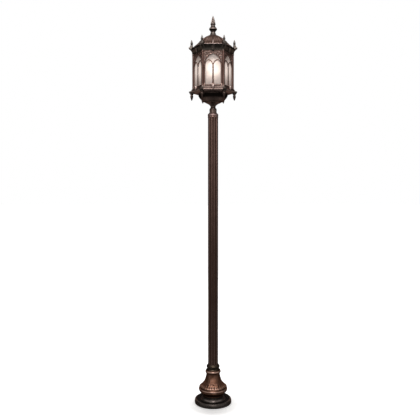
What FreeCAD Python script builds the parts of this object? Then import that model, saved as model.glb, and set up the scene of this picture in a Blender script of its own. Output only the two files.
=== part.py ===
import FreeCAD, Part
import math
import os
from FreeCAD import Vector as V

# Garden lamp post: a six-sided pointed-arch lantern on a fluted post with a
# bell base.  Millimetres, +Z up, origin at the centre of the foot, on the ground.
# The front of the lantern (a flat face, not a corner) looks along -Y.

# ---------------------------------------------------------------- dimensions
H_TOTAL = 2090.0        # ground to finial tip

# base
R_FOOT = 99.7           # outer radius of the round foot
Z_DECK = 22.6           # top of the foot's rolled rim
Z_FOOT_TOP = 40.0       # top of the foot's seat ring
R_SEAT = 53.2           # outer radius of the seat ring at its top
R_SPIGOT = 49.6         # bell spigot in the foot's ring
R_BELL = 77.8           # widest radius of the bell
Z_BELL_TOP = 180.0
Z_LEDGE = 122.0         # the post stands on this ledge inside the bell
R_PLATE, T_PLATE = 86.0, 4.0
PCD_ANCHOR, R_ANCHOR = 130.0, 4.5
R_ENTRY = 8.0           # cable entry through the grommet
Z_RIM_SCREW = 10.0

# post
R_POST = 28.0           # over the ridges
N_FLUTE = 12
FLUTE_DEPTH = 2.4
R_POST_IN = 23.0
Z_POST_TOP = 1550.0
Z_COLLAR_TOP = 208.5
Z_CAP_TOP = 1567.0
Z_NECK_TOP = 1593.5
R_NECK = 19.6
R_NIPPLE, R_NIPPLE_IN = 10.0, 7.0

# lantern
Z_BOWL_TOP = 1668.0
Z_FLOOR = 1673.0
Z_CAGE0, Z_CAGE1 = 1697.0, 1882.0    # the cage stands between these
R_CORNER = 107.2        # centre of each corner column
R_COLUMN = 4.8
A_PANEL0, A_PANEL1 = 89.4, 95.4      # panel's back and front, from the axis
W_PANEL = 48.5          # half width of a panel
SPAN = 41.5             # half width of the arched window
Z_SILL, Z_SPRING, RISE = 1704.0, 1809.0, 57.0
A_PANE0, A_PANE1 = 85.0, 89.0
W_PANE = 44.0
R_FINIAL_RING = 114.8   # corner finials stand on this radius
Z_CORNICE_TOP = 1911.5
Z_ROOF0 = 1912.5
Z_CROWN = 1994.0
R_ROD = 4.0
GAP = 0.3

os.makedirs("parts", exist_ok=True)
VOLUMES = {}


# ------------------------------------------------------------------- helpers
def save(name, shape):
    solids = shape.Solids
    assert solids, name
    for s in solids:
        assert s.isValid(), name + " is not valid"
        assert s.Volume > 0, name + " has no volume"
    out = solids[0] if len(solids) == 1 else Part.makeCompound(solids)
    out.exportStep("parts/%s.step" % name)
    VOLUMES[name] = sum(s.Volume for s in solids)
    print("%-24s %d solid(s) %10.1f mm3" % (name, len(solids), VOLUMES[name]))
    return out


def wire_rz(start, *segs):
    """Closed wire in the XZ plane. Each seg is a point (line) or a list of points (smooth curve)."""
    edges, cur = [], start
    for s in list(segs) + [start]:
        if isinstance(s, list):
            pts = [cur] + s
            c = Part.BSplineCurve()
            c.interpolate([V(r, 0, z) for r, z in pts])
            edges.append(c.toShape())
            cur = s[-1]
        else:
            if math.dist(s, cur) > 1e-7:
                edges.append(Part.LineSegment(V(cur[0], 0, cur[1]), V(s[0], 0, s[1])).toShape())
            cur = s
    return Part.Wire(edges)


def turned(start, *segs):
    face = Part.Face(wire_rz(start, *segs))
    s = face.revolve(V(0, 0, 0), V(0, 0, 1), 360)
    s = s.Solids[0] if s.Solids else Part.Solid(s)
    if s.Volume < 0:
        s.reverse()
    return s


def hex_point(a, z, k):
    """Corner k of a hexagon with apothem a; faces look along -90, -30, 30 ... degrees."""
    r = a / math.cos(math.radians(30))
    t = math.radians(-60 + 60 * k)
    return V(r * math.cos(t), r * math.sin(t), z)


def hex_ring(profile):
    """Closed profile of (apothem, z) points carried round the hexagon, mitred at the corners."""
    faces, n = [], len(profile)
    for i in range(n):
        (a0, z0), (a1, z1) = profile[i], profile[(i + 1) % n]
        for k in range(6):
            q = [hex_point(a0, z0, k), hex_point(a1, z1, k), hex_point(a1, z1, k + 1), hex_point(a0, z0, k + 1)]
            faces.append(Part.Face(Part.makePolygon(q + [q[0]])))
    s = Part.makeSolid(Part.makeShell(faces))
    if s.Volume < 0:
        s.reverse()
    return s


def hex_prism(a, z0, z1):
    pts = [hex_point(a, z0, k) for k in range(6)]
    return Part.Face(Part.makePolygon(pts + [pts[0]])).extrude(V(0, 0, z1 - z0))


def cyl(r, p, d, h):
    return Part.makeCylinder(r, h, V(*p), V(*d))


def slab(points, y0, y1):
    """Polygon in XZ pushed through from y0 to y1."""
    pts = [V(x, y0, z) for x, z in points]
    return Part.Face(Part.makePolygon(pts + [pts[0]])).extrude(V(0, y1 - y0, 0))


def turn(shape, deg):
    s = shape.copy()
    s.rotate(V(0, 0, 0), V(0, 0, 1), deg)
    return s


def move(shape, x, y, z):
    s = shape.copy()
    s.translate(V(x, y, z))
    return s


def around(shape, n=6, start=0.0):
    return [turn(shape, start + 360.0 / n * k) for k in range(n)]


def hex_nut(af, bore, z, h):
    pts = [V(af / math.sqrt(3) * math.cos(math.radians(60 * k)), af / math.sqrt(3) * math.sin(math.radians(60 * k)), z) for k in range(6)]
    return Part.Face(Part.makePolygon(pts + [pts[0]])).extrude(V(0, 0, h)).cut(cyl(bore, (0, 0, z - 1), (0, 0, 1), h + 2))


BACK_THREE = (90.0, 210.0, 330.0)   # directions of the three-screw sets

# ------------------------------------------------------------ ground anchor
plate = cyl(R_PLATE, (0, 0, 0), (0, 0, 1), T_PLATE)
for d in BACK_THREE:
    plate = plate.fuse(turn(Part.makeBox(10.5, 16, 10.5, V(73, -8, T_PLATE - 0.5)), d))
for k in range(4):
    t = math.radians(45 + 90 * k)
    plate = plate.cut(cyl(R_ANCHOR, (PCD_ANCHOR / 2 * math.cos(t), PCD_ANCHOR / 2 * math.sin(t), -1), (0, 0, 1), 8))
plate = plate.cut(cyl(16.0, (0, 0, -1), (0, 0, 1), 8))
EARTH = (-32.0, 46.0)
plate = plate.cut(cyl(2.5, (EARTH[0], EARTH[1], -1), (0, 0, 1), 8))
for d in BACK_THREE:
    plate = plate.cut(turn(cyl(2.5, (70, 0, Z_RIM_SCREW), (1, 0, 0), 30), d))
save("anchor_plate", plate.removeSplitter())

grommet = turned((R_ENTRY, 0.5), (15.9, 0.5), (15.9, T_PLATE), (19.5, T_PLATE), (19.5, 5.6), (18.5, 6.5), (R_ENTRY, 6.5))
save("cable_grommet", grommet)

earth = cyl(2.4, (EARTH[0], EARTH[1], 0.6), (0, 0, 1), 11.4).fuse(cyl(4.6, (EARTH[0], EARTH[1], T_PLATE), (0, 0, 1), 1.0)).fuse(
    cyl(4.2, (EARTH[0], EARTH[1], 8.6), (0, 0, 1), 3.4))
save("earth_screw", earth.removeSplitter())

block = Part.makeBox(36, 15, 13, V(-18, 21, T_PLATE))
block = block.cut(cyl(3.6, (0, 28.5, 10), (0, 0, 1), 20))            # the lead goes in here
for x in (-11.0, 11.0):
    block = block.cut(cyl(2.2, (x, 28.5, 8), (0, 0, 1), 20))
save("terminal_block", block)

# ------------------------------------------------------------------ foot
foot = turned(
    (92.0, 0.0), (98.6, 0.0), [(99.6, 1.6), (R_FOOT, 5.0), (99.2, 12.0), (97.8, 18.2), (95.4, 21.6), (92.4, Z_DECK)],
    [(86.0, 21.8), (76.0, 20.2), (66.4, 19.6)], [(63.4, 20.2), (62.2, 22.4), (61.4, 26.2), (59.4, 30.6), (55.6, 34.2)], (R_SEAT, 35.6), (R_SEAT, Z_FOOT_TOP),
    (R_SPIGOT + 0.3, Z_FOOT_TOP), (R_SPIGOT + 0.3, 24.0), (42.0, 24.0), (42.0, 17.0), (54.0, 17.0), (84.0, 15.2), (90.0, 12.5), (92.0, 9.0))
for d in BACK_THREE:
    foot = foot.cut(turn(cyl(2.6, (86, 0, Z_RIM_SCREW), (1, 0, 0), 20), d))
    foot = foot.cut(turn(cyl(4.6, (96.4, 0, Z_RIM_SCREW), (1, 0, 0), 10), d))
    foot = foot.cut(turn(cyl(3.2, (46.0, 0, 10), (0, 0, 1), 20), d + 60))
save("foot_casting", foot)

rim = cyl(2.4, (76.5, 0, Z_RIM_SCREW), (1, 0, 0), 20.4).fuse(cyl(4.3, (96.5, 0, Z_RIM_SCREW), (1, 0, 0), 2.2))
rim = rim.cut(cyl(1.6, (97.4, 0, Z_RIM_SCREW), (1, 0, 0), 3))
save("rim_screws", Part.makeCompound([turn(rim, d) for d in BACK_THREE]))

# ------------------------------------------------------------------ bell
BELL = [(53.0, 43.5), (56.2, 48.5), (62.6, 54.0), (71.2, 60.5), (76.2, 68.0), (R_BELL, 77.0), (76.0, 85.0), (70.6, 92.0), (61.8, 99.5),
        (54.4, 108.0), (47.4, 118.0), (42.6, 129.5), (39.0, 142.0), (36.8, 153.0), (36.6, 160.0)]
BELL_FLAT = [1.01, 1.01, 1.01, 1.01, 1.01, 1.01, 0.955, 0.94, 0.935, 0.935, 0.94, 0.945, 0.955, 0.97, 1.01]   # flats' apothem over the radius; the rim stays round
bell = turned(
    (R_SPIGOT, 24.2), (R_SPIGOT, Z_FOOT_TOP), (53.0, Z_FOOT_TOP), BELL[0], BELL[1:],
    [(39.4, 162.0), (41.4, 166.0), (41.7, 170.5), (40.2, 175.5), (37.0, 179.2), (36.2, Z_BELL_TOP)],
    (R_POST + 0.3, Z_BELL_TOP), (R_POST + 0.3, Z_LEDGE), (20.0, Z_LEDGE), (20.0, Z_LEDGE - 6), (40.0, Z_LEDGE - 6),
    [(44.6, 108.0), (51.4, 99.5), (59.4, 91.0), (64.8, 82.0), (66.4, 73.0), (63.4, 65.5), (57.0, 59.5), (49.5, 54.5)],
    (42.5, 50.0), (42.5, 24.2))
bell = bell.cut(hex_ring([(r * f, z) for (r, z), f in zip(BELL, BELL_FLAT)] + [(110.0, 160.0), (110.0, 43.5)]))
for d in BACK_THREE:
    bell = bell.cut(turn(cyl(2.6, (46.0, 0, 20), (0, 0, 1), 17.0), d + 60))
    bell = bell.cut(turn(cyl(3.1, (26, 0, 152.0), (1, 0, 0), 20), d))
save("bell_casting", bell)

bscrew = cyl(2.5, (46.0, 0, 16.8), (0, 0, 1), 18.0).fuse(cyl(4.6, (46.0, 0, 11.8), (0, 0, 1), 5.0))
bscrew = bscrew.cut(cyl(2.2, (46.0, 0, 10.0), (0, 0, 1), 4.4))
save("bell_screws", Part.makeCompound([turn(bscrew.removeSplitter(), d + 60) for d in BACK_THREE]))

R_FLUTE = R_POST - FLUTE_DEPTH
grub = cyl(3.0, (R_POST + 0.6, 0, 152.0), (1, 0, 0), 7.4).fuse(cyl(1.3, (R_FLUTE + 0.35, 0, 152.0), (1, 0, 0), 4.0)).cut(
    cyl(1.5, (R_POST + 4.5, 0, 152.0), (1, 0, 0), 6))
save("socket_grub_screws", Part.makeCompound([turn(grub, d) for d in BACK_THREE]))

collar = turned(
    (R_POST + 0.35, Z_BELL_TOP), (36.2, Z_BELL_TOP), [(34.4, 182.5), (33.1, 186.5), (33.4, 190.0)],
    [(34.8, 192.2), (35.4, 196.0), (35.0, 200.0), (32.8, 204.2), (30.4, 207.0), (29.2, Z_COLLAR_TOP)], (R_POST + 0.35, Z_COLLAR_TOP))
collar = collar.cut(turn(cyl(2.1, (26, 0, 187.0), (1, 0, 0), 12), 90))
save("post_collar", collar)
cgrub = cyl(2.0, (R_POST + 0.6, 0, 187.0), (1, 0, 0), 4.0).fuse(cyl(1.1, (R_FLUTE + 0.35, 0, 187.0), (1, 0, 0), 4.0)).cut(
    cyl(1.0, (R_POST + 2.9, 0, 187.0), (1, 0, 0), 4))
save("collar_grub_screw", turn(cgrub, 90))

# ------------------------------------------------------------------ post
edges = []
step = 2 * math.pi / N_FLUTE
land = step * 0.13
for k in range(N_FLUTE):
    ridge = -math.pi / 2 + step * (k + 0.5)        # a flute, not a ridge, faces the front

    def on(r, t):
        return V(r * math.cos(t), r * math.sin(t), 0)

    edges.append(Part.Arc(on(R_POST, ridge - land), on(R_POST, ridge), on(R_POST, ridge + land)).toShape())
    edges.append(Part.Arc(on(R_POST, ridge + land), on(R_POST - FLUTE_DEPTH, ridge + step / 2), on(R_POST, ridge + step - land)).toShape())
tube = Part.Face(Part.Wire(edges)).extrude(V(0, 0, Z_POST_TOP - Z_LEDGE))
tube.translate(V(0, 0, Z_LEDGE))
tube = tube.cut(cyl(R_POST_IN, (0, 0, 0), (0, 0, 1), 2000))
for d in BACK_THREE:
    tube = tube.cut(turn(cyl(2.2, (20, 0, 1531.0), (1, 0, 0), 12), d))
save("post_tube", tube)

cap = turned(
    (R_NIPPLE + 0.2, 1512.0), (R_POST_IN - 0.2, 1512.0), (R_POST_IN - 0.2, Z_POST_TOP), (28.3, Z_POST_TOP), (28.4, Z_POST_TOP + 8.5),
    [(26.8, 1561.6), (23.8, 1564.2), (21.4, Z_CAP_TOP)], (R_NIPPLE + 0.2, Z_CAP_TOP))
for d in BACK_THREE:
    cap = cap.cut(turn(cyl(2.1, (16, 0, 1531.0), (1, 0, 0), 12), d))
save("post_cap", cap)
pgrub = cyl(2.0, (17.0, 0, 1531.0), (1, 0, 0), 8.4).cut(cyl(1.0, (23.6, 0, 1531.0), (1, 0, 0), 4))
save("cap_grub_screws", Part.makeCompound([turn(pgrub, d) for d in BACK_THREE]))

neck = turned(
    (R_NIPPLE + 0.2, Z_CAP_TOP), (20.0, Z_CAP_TOP), (R_NECK, Z_CAP_TOP + 1.2), (R_NECK, 1588.5), [(18.6, 1590.4), (16.8, 1592.2), (15.6, Z_NECK_TOP)],
    (R_NIPPLE + 0.2, Z_NECK_TOP))
save("neck_ring", neck)

nipple = cyl(R_NIPPLE, (0, 0, 1498), (0, 0, 1), 188.0).cut(cyl(R_NIPPLE_IN, (0, 0, 1490), (0, 0, 1), 210))
save("center_nipple", nipple)
save("nipple_nuts", Part.makeCompound([hex_nut(26.0, R_NIPPLE + 0.1, 1504.0, 8.0), hex_nut(26.0, R_NIPPLE + 0.1, Z_FLOOR, 8.0)]))

# ------------------------------------------------------------------ lantern bowl
bowl = turned(
    (R_NIPPLE + 0.2, Z_NECK_TOP), (15.4, Z_NECK_TOP),
    [(13.4, 1597.2), (13.2, 1600.8), (14.8, 1605.0), (19.0, 1610.0), (26.6, 1615.4), (36.5, 1620.0), (44.5, 1624.6)],
    [(47.6, 1625.4), (50.2, 1624.4)], [(52.2, 1626.6), (57.0, 1631.0), (65.2, 1639.4), (73.6, 1650.0), (78.8, 1660.4), (80.5, Z_BOWL_TOP)],
    (75.8, Z_BOWL_TOP), [(74.2, 1661.0), (69.4, 1652.4), (61.4, 1642.0), (53.0, 1634.2), (45.0, 1630.0), (35.0, 1625.4), (24.5, 1620.0), (16.6, 1613.5)],
    (R_NIPPLE + 0.2, 1608.5))
save("lantern_bowl", bowl)

# ------------------------------------------------------------------ tray
tray = hex_ring([(84, Z_CAGE0), (98.5, Z_CAGE0), (99.2, 1694.0), (100.6, 1690.0), (103.0, 1685.6), (105.6, 1682.0), (106.5, 1680.0), (106.5, 1676.0),
                 (105.0, 1674.5), (84, Z_BOWL_TOP), (84, Z_FLOOR), (95.5, 1676.8), (100.0, 1679.4), (98.4, 1684.0), (96.2, 1688.0), (94.8, 1691), (84, 1691)])
tray = tray.fuse(hex_prism(84.5, Z_BOWL_TOP, Z_FLOOR))
arm = slab([(106.5, 1668), (123, 1668), (127, 1673.5), (129.6, 1678), (129.2, 1682.2), (125.2, 1683.2), (120.2, 1685.5), (115.8, 1690), (112.6, 1694.5), (106.5, 1696.2)], -8.0, 8.0)
for s in around(arm, 6):
    tray = tray.fuse(s)
corbel = move(cyl(7.6, (0, 0, 1690.0), (0, 0, 1), 12.0).fuse(Part.makeSphere(7.6, V(0, 0, 1690.0))), 0, -104.6, 0)
for s in around(corbel, 6):
    tray = tray.fuse(s)
tray = tray.cut(cyl(R_NIPPLE + 0.2, (0, 0, 1660), (0, 0, 1), 20))
for s in around(cyl(2.1, (R_FINIAL_RING, 0, 1660), (0, 0, 1), 22), 6):
    tray = tray.cut(s)
for s in around(cyl(2.2, (R_CORNER, 0, 1685), (0, 0, 1), 14), 6):
    tray = tray.cut(s)
for s in around(cyl(4.2, (R_CORNER, 0, 1676), (0, 0, 1), 15), 6):    # pockets for the column screws' heads
    tray = tray.cut(s)
for x in (-30.0, 30.0):
    tray = tray.cut(cyl(2.1, (x, 0, 1660), (0, 0, 1), 20))
save("tray_casting", tray.removeSplitter())

pend = turned((0, 1633.0), [(2.0, 1635.4), (4.4, 1640.4), (6.8, 1646.8), (8.2, 1652.8), (7.9, 1657.2), (6.6, 1660.6)], [(7.2, 1662.4), (7.8, 1665.0), (8.0, Z_BOWL_TOP)],
              (2.0, Z_BOWL_TOP), (2.0, 1680.0), (0, 1680.0))
save("lower_pendants", Part.makeCompound(around(move(pend, R_FINIAL_RING, 0, 0), 6)))

# ------------------------------------------------------------------ cage
column = cyl(R_COLUMN, (R_CORNER, 0, Z_CAGE0), (0, 0, 1), Z_CAGE1 - Z_CAGE0)
column = column.fuse(Part.makeBox(16, 4.4, Z_CAGE1 - Z_CAGE0, V(90, -2.2, Z_CAGE0)))
column = column.fuse(Part.makeBox(3.0, 18, Z_CAGE1 - Z_CAGE0, V(88.5, -9, Z_CAGE0)))
for z0, z1 in ((Z_CAGE0 - 1, Z_CAGE0 + 12), (Z_CAGE1 - 12, Z_CAGE1 + 1)):
    column = column.cut(cyl(2.1, (R_CORNER, 0, z0), (0, 0, 1), z1 - z0))
column = column.removeSplitter()
for k in range(6):
    save("corner_column_%d" % (k + 1), turn(column, -60 + 60 * k))


def pointed(u0, left, right, rise, grow, y0, y1, z_low):
    """Pointed arch region: two arcs over a straight part, with the point at u0; grow offsets the outline."""
    r1, r2 = (right * right + rise * rise) / (2 * right), (left * left + rise * rise) / (2 * left)
    cr, cl = u0 + right - r1, u0 - left + r2
    r1, r2 = r1 + grow, r2 + grow
    ux = (cl * cl - cr * cr + r1 * r1 - r2 * r2) / (2 * (cl - cr))
    apex = math.sqrt(r1 * r1 - (ux - cr) ** 2)
    t1, t2 = math.atan2(apex, ux - cr) / 2, math.atan2(apex, cl - ux) / 2
    b, e = V(cr + r1, y0, Z_SPRING), V(ux, y0, Z_SPRING + apex)
    f = V(cl - r2, y0, Z_SPRING)
    es = [
        Part.LineSegment(V(f.x, y0, z_low), V(b.x, y0, z_low)).toShape(),
        Part.LineSegment(V(b.x, y0, z_low), b).toShape(),
        Part.Arc(b, V(cr + r1 * math.cos(t1), y0, Z_SPRING + r1 * math.sin(t1)), e).toShape(),
        Part.Arc(e, V(cl - r2 * math.cos(t2), y0, Z_SPRING + r2 * math.sin(t2)), f).toShape(),
        Part.LineSegment(f, V(f.x, y0, z_low)).toShape(),
    ]
    return Part.Face(Part.Wire(es)).extrude(V(0, y1 - y0, 0))


panel = Part.makeBox(2 * W_PANEL, A_PANEL1 - A_PANEL0, Z_CAGE1 - Z_CAGE0 - GAP, V(-W_PANEL, -A_PANEL1, Z_CAGE0))
panel = panel.cut(pointed(0.0, SPAN, SPAN, RISE, 0.0, -A_PANEL1 - 2, -A_PANEL0 + 2, Z_SILL))
yb0, yb1 = -A_PANEL1 + 0.8, -A_PANEL0 - 0.8
window = pointed(0.0, SPAN, SPAN, RISE, 0.8, yb0, yb1, Z_SILL - 0.8)
for side in (-1, 1):
    u0, left, right = side * 25.0, (23.5, 16.5)[side < 0], (16.5, 23.5)[side < 0]     # the point leans towards the jamb
    bar = pointed(u0, left, right, 29.0, 2.2, yb0, yb1, Z_SPRING - 0.5).cut(pointed(u0, left, right, 29.0, -2.2, yb0 - 2, yb1 + 2, Z_SPRING - 2.0))
    panel = panel.fuse(bar.common(window))
panel = panel.fuse(slab([(-5.2, Z_SILL - 0.5), (5.2, Z_SILL - 0.5), (3.4, Z_SPRING + 10.0), (-3.4, Z_SPRING + 10.0)], yb0, yb1))


def leaf_hole(u, z, length, width, deg):
    """A pointed oval through the panel."""
    t = math.radians(deg)
    d, n = V(math.cos(t), 0, math.sin(t)), V(-math.sin(t), 0, math.cos(t))
    c = V(u, -A_PANEL1 - 2, z)
    a, b = c - d * (length / 2), c + d * (length / 2)
    es = [Part.Arc(a, c + n * (width / 2), b).toShape(), Part.Arc(b, c - n * (width / 2), a).toShape()]
    return Part.Face(Part.Wire(es)).extrude(V(0, 12, 0))


LEAF_HOLES = [(43.6, 1830.0, 14.0, 4.6, 98.0), (42.0, 1848.6, 15.0, 6.4, 72.0), (33.6, 1855.6, 13.0, 5.2, 38.0), (40.2, 1867.6, 12.5, 5.6, -22.0),
              (25.6, 1864.2, 12.5, 5.0, 22.0), (15.4, 1872.6, 12.0, 4.4, 2.0), (29.4, 1874.0, 9.5, 3.6, -6.0)]
for u, z, length, width, deg in LEAF_HOLES:
    panel = panel.cut(leaf_hole(u, z, length, width, deg)).cut(leaf_hole(-u, z, length, width, 180.0 - deg))
panel = panel.removeSplitter()
for k in range(6):
    save("arch_panel_%d" % (k + 1), turn(panel, 60 * k))

pane = Part.makeBox(2 * W_PANE, A_PANE1 - A_PANE0, Z_CAGE1 - Z_CAGE0 - GAP, V(-W_PANE, -A_PANE1, Z_CAGE0))
for k in range(6):
    save("glass_pane_%d" % (k + 1), turn(pane, 60 * k))

lscrew = cyl(2.0, (R_CORNER, 0, 1691.0 - 2.6), (0, 0, 1), 18.0).fuse(cyl(3.6, (R_CORNER, 0, 1691.0 - 3.0), (0, 0, 1), 3.0))
uscrew = cyl(2.0, (R_CORNER, 0, Z_CAGE1 - 10.0), (0, 0, 1), 16.0).fuse(cyl(3.6, (R_CORNER, 0, 1887.5), (0, 0, 1), 3.0))

# ------------------------------------------------------------------ cornice
cornice = hex_ring([(78, Z_CAGE1), (98.0, Z_CAGE1), (98.2, 1889), (99.0, 1893.5), (100.8, 1897.8), (103.2, 1901.6), (105.4, 1904), (106.5, 1905.6), (106.5, 1909.2), (104.6, Z_CORNICE_TOP),
                    (80, Z_CORNICE_TOP), (80, 1907.5), (100.6, 1907.5), (98.6, 1904), (96.4, 1899), (94.8, 1894), (94.2, 1887.5), (78, 1887.5)])
uarm = slab([(107, 1893), (110.5, 1896.6), (114, 1901.4), (118.6, 1906.2), (125.2, 1909.6), (129.8, 1912.0), (131.0, 1914.4), (129.6, 1917.4), (126.0, 1918.8), (123.6, 1921.4), (123.0, 1926.0), (108.0, 1926.0),
             (107, 1923.0)], -12.0, 12.0)
for s in around(uarm, 6):
    cornice = cornice.fuse(s)
key = slab([(-6.5, 1876), (6.5, 1876), (8, 1885), (9, 1904), (-9, 1904), (-8, 1885)], -107.0, -96.2)
key = key.common(hex_ring([(96.2, 1875), (99.5, 1875), (101.5, 1884), (102.6, 1890), (104.4, 1897), (106.4, 1904.5), (96.2, 1904.5)]))
for s in around(key, 6):
    cornice = cornice.fuse(s)
for s in around(cyl(2.1, (R_FINIAL_RING, 0, 1908), (0, 0, 1), 20), 6):
    cornice = cornice.cut(s)
# pockets over the column screws, and the screws' own holes
for s in around(cyl(4.2, (R_CORNER, 0, 1887.5), (0, 0, 1), 12.0), 6):
    cornice = cornice.cut(s)
for s in around(cyl(2.2, (R_CORNER, 0, 1880), (0, 0, 1), 10.0), 6):
    cornice = cornice.cut(s)
for y in (-86.0, 86.0):
    cornice = cornice.cut(cyl(2.0, (0, y, 1880), (0, 0, 1), 10))
save("cornice_casting", cornice.removeSplitter())
save("upper_column_screws", Part.makeCompound(around(uscrew.removeSplitter(), 6)))
save("lower_column_screws", Part.makeCompound(around(lscrew.removeSplitter(), 6)))

fin = turned((0, 1960.5), [(1.5, 1958.0), (3.5, 1952.4), (5.4, 1946.4), (6.9, 1941.2), (6.6, 1937.6), (5.4, 1934.4)], [(6.0, 1932.2), (6.7, 1929.4), (7.0, 1926.0)],
             (2.0, 1926.0), (2.0, 1910.0), (0, 1910.0))
save("upper_finials", Part.makeCompound(around(move(fin, R_FINIAL_RING, 0, 0), 6)))

# ------------------------------------------------------------------ roof and its fixing
bridge = Part.makeBox(20, 184, 3, V(-10, -92, 1887.5)).cut(cyl(R_ROD + 0.2, (0, 0, 1880), (0, 0, 1), 20))
for y in (-86.0, 86.0):
    bridge = bridge.cut(cyl(2.2, (0, y, 1880), (0, 0, 1), 20))
save("roof_bridge", bridge)
bs = cyl(1.9, (0, 0, 1883.0), (0, 0, 1), 8.0).fuse(cyl(3.6, (0, 0, 1890.5), (0, 0, 1), 2.6)).removeSplitter()
save("bridge_screws", Part.makeCompound([move(bs, 0, -86, 0), move(bs, 0, 86, 0)]))
save("finial_rod", cyl(R_ROD, (0, 0, 1878.0), (0, 0, 1), 152.0))
save("rod_nuts", Part.makeCompound([hex_nut(13.0, R_ROD + 0.1, 1881.0, 6.5), hex_nut(13.0, R_ROD + 0.1, 1890.5, 6.5)]))

save("roof_gasket", hex_ring([(83, Z_CORNICE_TOP), (90, Z_CORNICE_TOP), (90, Z_ROOF0 - GAP), (83, Z_ROOF0 - GAP)]))

outer = [(91.2, Z_ROOF0), (91.6, 1915.6), (90.4, 1920.6), (86.0, 1925.0), (81.0, 1928.4), (76.0, 1932.0), (71.2, 1937.2), (66.6, 1943.6), (62.4, 1950.0), (57.6, 1956.6), (52.2, 1962.4), (46.0, 1967.6),
         (38.6, 1972.4), (30.0, 1976.6), (22.0, 1980.0), (15.0, 1982.8)]
inner = [(15.0, 1978.8), (20.6, 1976.5), (28.2, 1973.0), (36.4, 1969.0), (43.4, 1964.6), (49.2, 1959.6), (54.4, 1954.4), (59.0, 1947.9), (63.2, 1941.4), (68.2, 1934.6), (73.6, 1929.0), (78.8, 1925.2),
         (83.6, 1921.8), (85.2, 1917.5), (84.6, Z_ROOF0)]
roof = hex_ring(outer + inner)
crown = turned((R_ROD + 0.5, 1976.6), (19.0, 1976.6), (19.0, 1982.4), [(17.0, 1986.2), (15.8, 1988.8)], [(16.5, 1990.2), (16.1, 1991.6), (15.0, 1992.4)], (14.2, Z_CROWN), (R_ROD + 0.5, Z_CROWN))
roof = roof.fuse(crown).removeSplitter()
save("roof_dome", roof)

save("finial_washer", cyl(12.0, (0, 0, Z_CROWN), (0, 0, 1), 1.2).cut(cyl(R_ROD + 0.4, (0, 0, Z_CROWN - 1), (0, 0, 1), 4)))
ZF = Z_CROWN + 1.2 + GAP
finial = turned(
    (R_ROD + 0.35, ZF), (13.4, ZF), [(12.8, 2000.0), (13.6, 2004.0), (16.8, 2008.0), (20.0, 2011.6), (21.4, 2016.8), (20.0, 2021.6), (16.2, 2025.6), (12.8, 2030.0), (11.8, 2034.5), (11.9, 2038.6)],
    [(13.2, 2041.2), (13.7, 2044.4)], [(12.5, 2050.0), (10.9, 2057.5), (8.9, 2066.0), (5.9, 2075.6), (2.9, 2083.6), (0.0, H_TOTAL)],
    (0.0, 2036.0), (R_ROD + 0.35, 2034.0))
save("top_finial", finial)

# ------------------------------------------------------------------ lamp
br = slab([(-38, Z_FLOOR), (-20, Z_FLOOR), (-20, 1691.0), (20, 1691.0), (20, Z_FLOOR), (38, Z_FLOOR), (38, Z_FLOOR + 1.5), (21.5, Z_FLOOR + 1.5), (21.5, 1692.5), (-21.5, 1692.5), (-21.5, Z_FLOOR + 1.5),
           (-38, Z_FLOOR + 1.5)], -9.0, 9.0)
br = br.cut(cyl(5.0, (0, 0, 1680), (0, 0, 1), 20))
for x in (-30.0, 30.0):
    br = br.cut(cyl(2.2, (x, 0, 1660), (0, 0, 1), 20))
save("holder_bracket", br)
hs = cyl(2.0, (0, 0, Z_BOWL_TOP + 0.4), (0, 0, 1), 6.4).fuse(cyl(3.6, (0, 0, Z_FLOOR + 1.5), (0, 0, 1), 2.4)).removeSplitter()
save("bracket_screws", Part.makeCompound([move(hs, -30, 0, 0), move(hs, 30, 0, 0)]))

holder = turned((4.0, 1692.5), (17.0, 1692.5), (18.5, 1694.0), (18.5, 1712.0), (20.5, 1714.0), (20.5, 1738.5), (19.0, 1740.0), (13.9, 1740.0), (13.9, 1703.0), (4.0, 1703.0))
save("lamp_holder", holder)
bulb = turned((0, 1703.0), (4.5, 1703.0), (9.0, 1708.0), (13.2, 1712.0), (13.2, 1736.0), (12.6, 1741.0),
              [(14.6, 1750.0), (18.5, 1764.0), (24.5, 1780.0), (29.0, 1797.0), (30.0, 1812.0), (27.6, 1828.0), (21.4, 1841.0), (12.0, 1849.0), (0.0, 1852.0)])
save("lamp_bulb", bulb)

# lead from the terminal block up the post to the lampholder: straight runs and tangent arcs
R_LEAD = 3.4
route = [V(0, 28.5, 11.0), V(0, 28.5, 66.0), V(0, 0, 136.0), V(0, 0, 1699.0)]
edges, cur = [], route[0]
for i in (1, 2):
    a, b, c = route[i - 1], route[i], route[i + 1]
    d0, d1 = (b - a).normalize(), (c - b).normalize()
    half = d0.getAngle(d1) / 2
    run = min((b - a).Length, (c - b).Length)
    rad = 0.45 * run / math.tan(half)
    t = rad * math.tan(half)
    p, q = b - d0 * t, b + d1 * t
    m = (d1 - d0).normalize()
    mid = b + m * (rad / math.cos(half) - rad)
    print("lead bend %d radius %.1f" % (i, rad))
    edges += [Part.LineSegment(cur, p).toShape(), Part.Arc(p, mid, q).toShape()]
    cur = q
edges.append(Part.LineSegment(cur, route[-1]).toShape())
path = Part.Wire(edges)
section = Part.Wire([Part.makeCircle(R_LEAD, route[0], route[1] - route[0])])
lead = path.makePipeShell([section], True, False)
print("lead volume %.1f, section times length %.1f" % (lead.Volume, math.pi * R_LEAD ** 2 * path.Length))
save("lamp_lead", lead)

print("total volume cm3 %.1f" % (sum(VOLUMES.values()) / 1000.0), "nodes", len(VOLUMES))
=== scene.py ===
import math

import bmesh
import bpy
import numpy as np
from mathutils import Matrix, Vector


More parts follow.
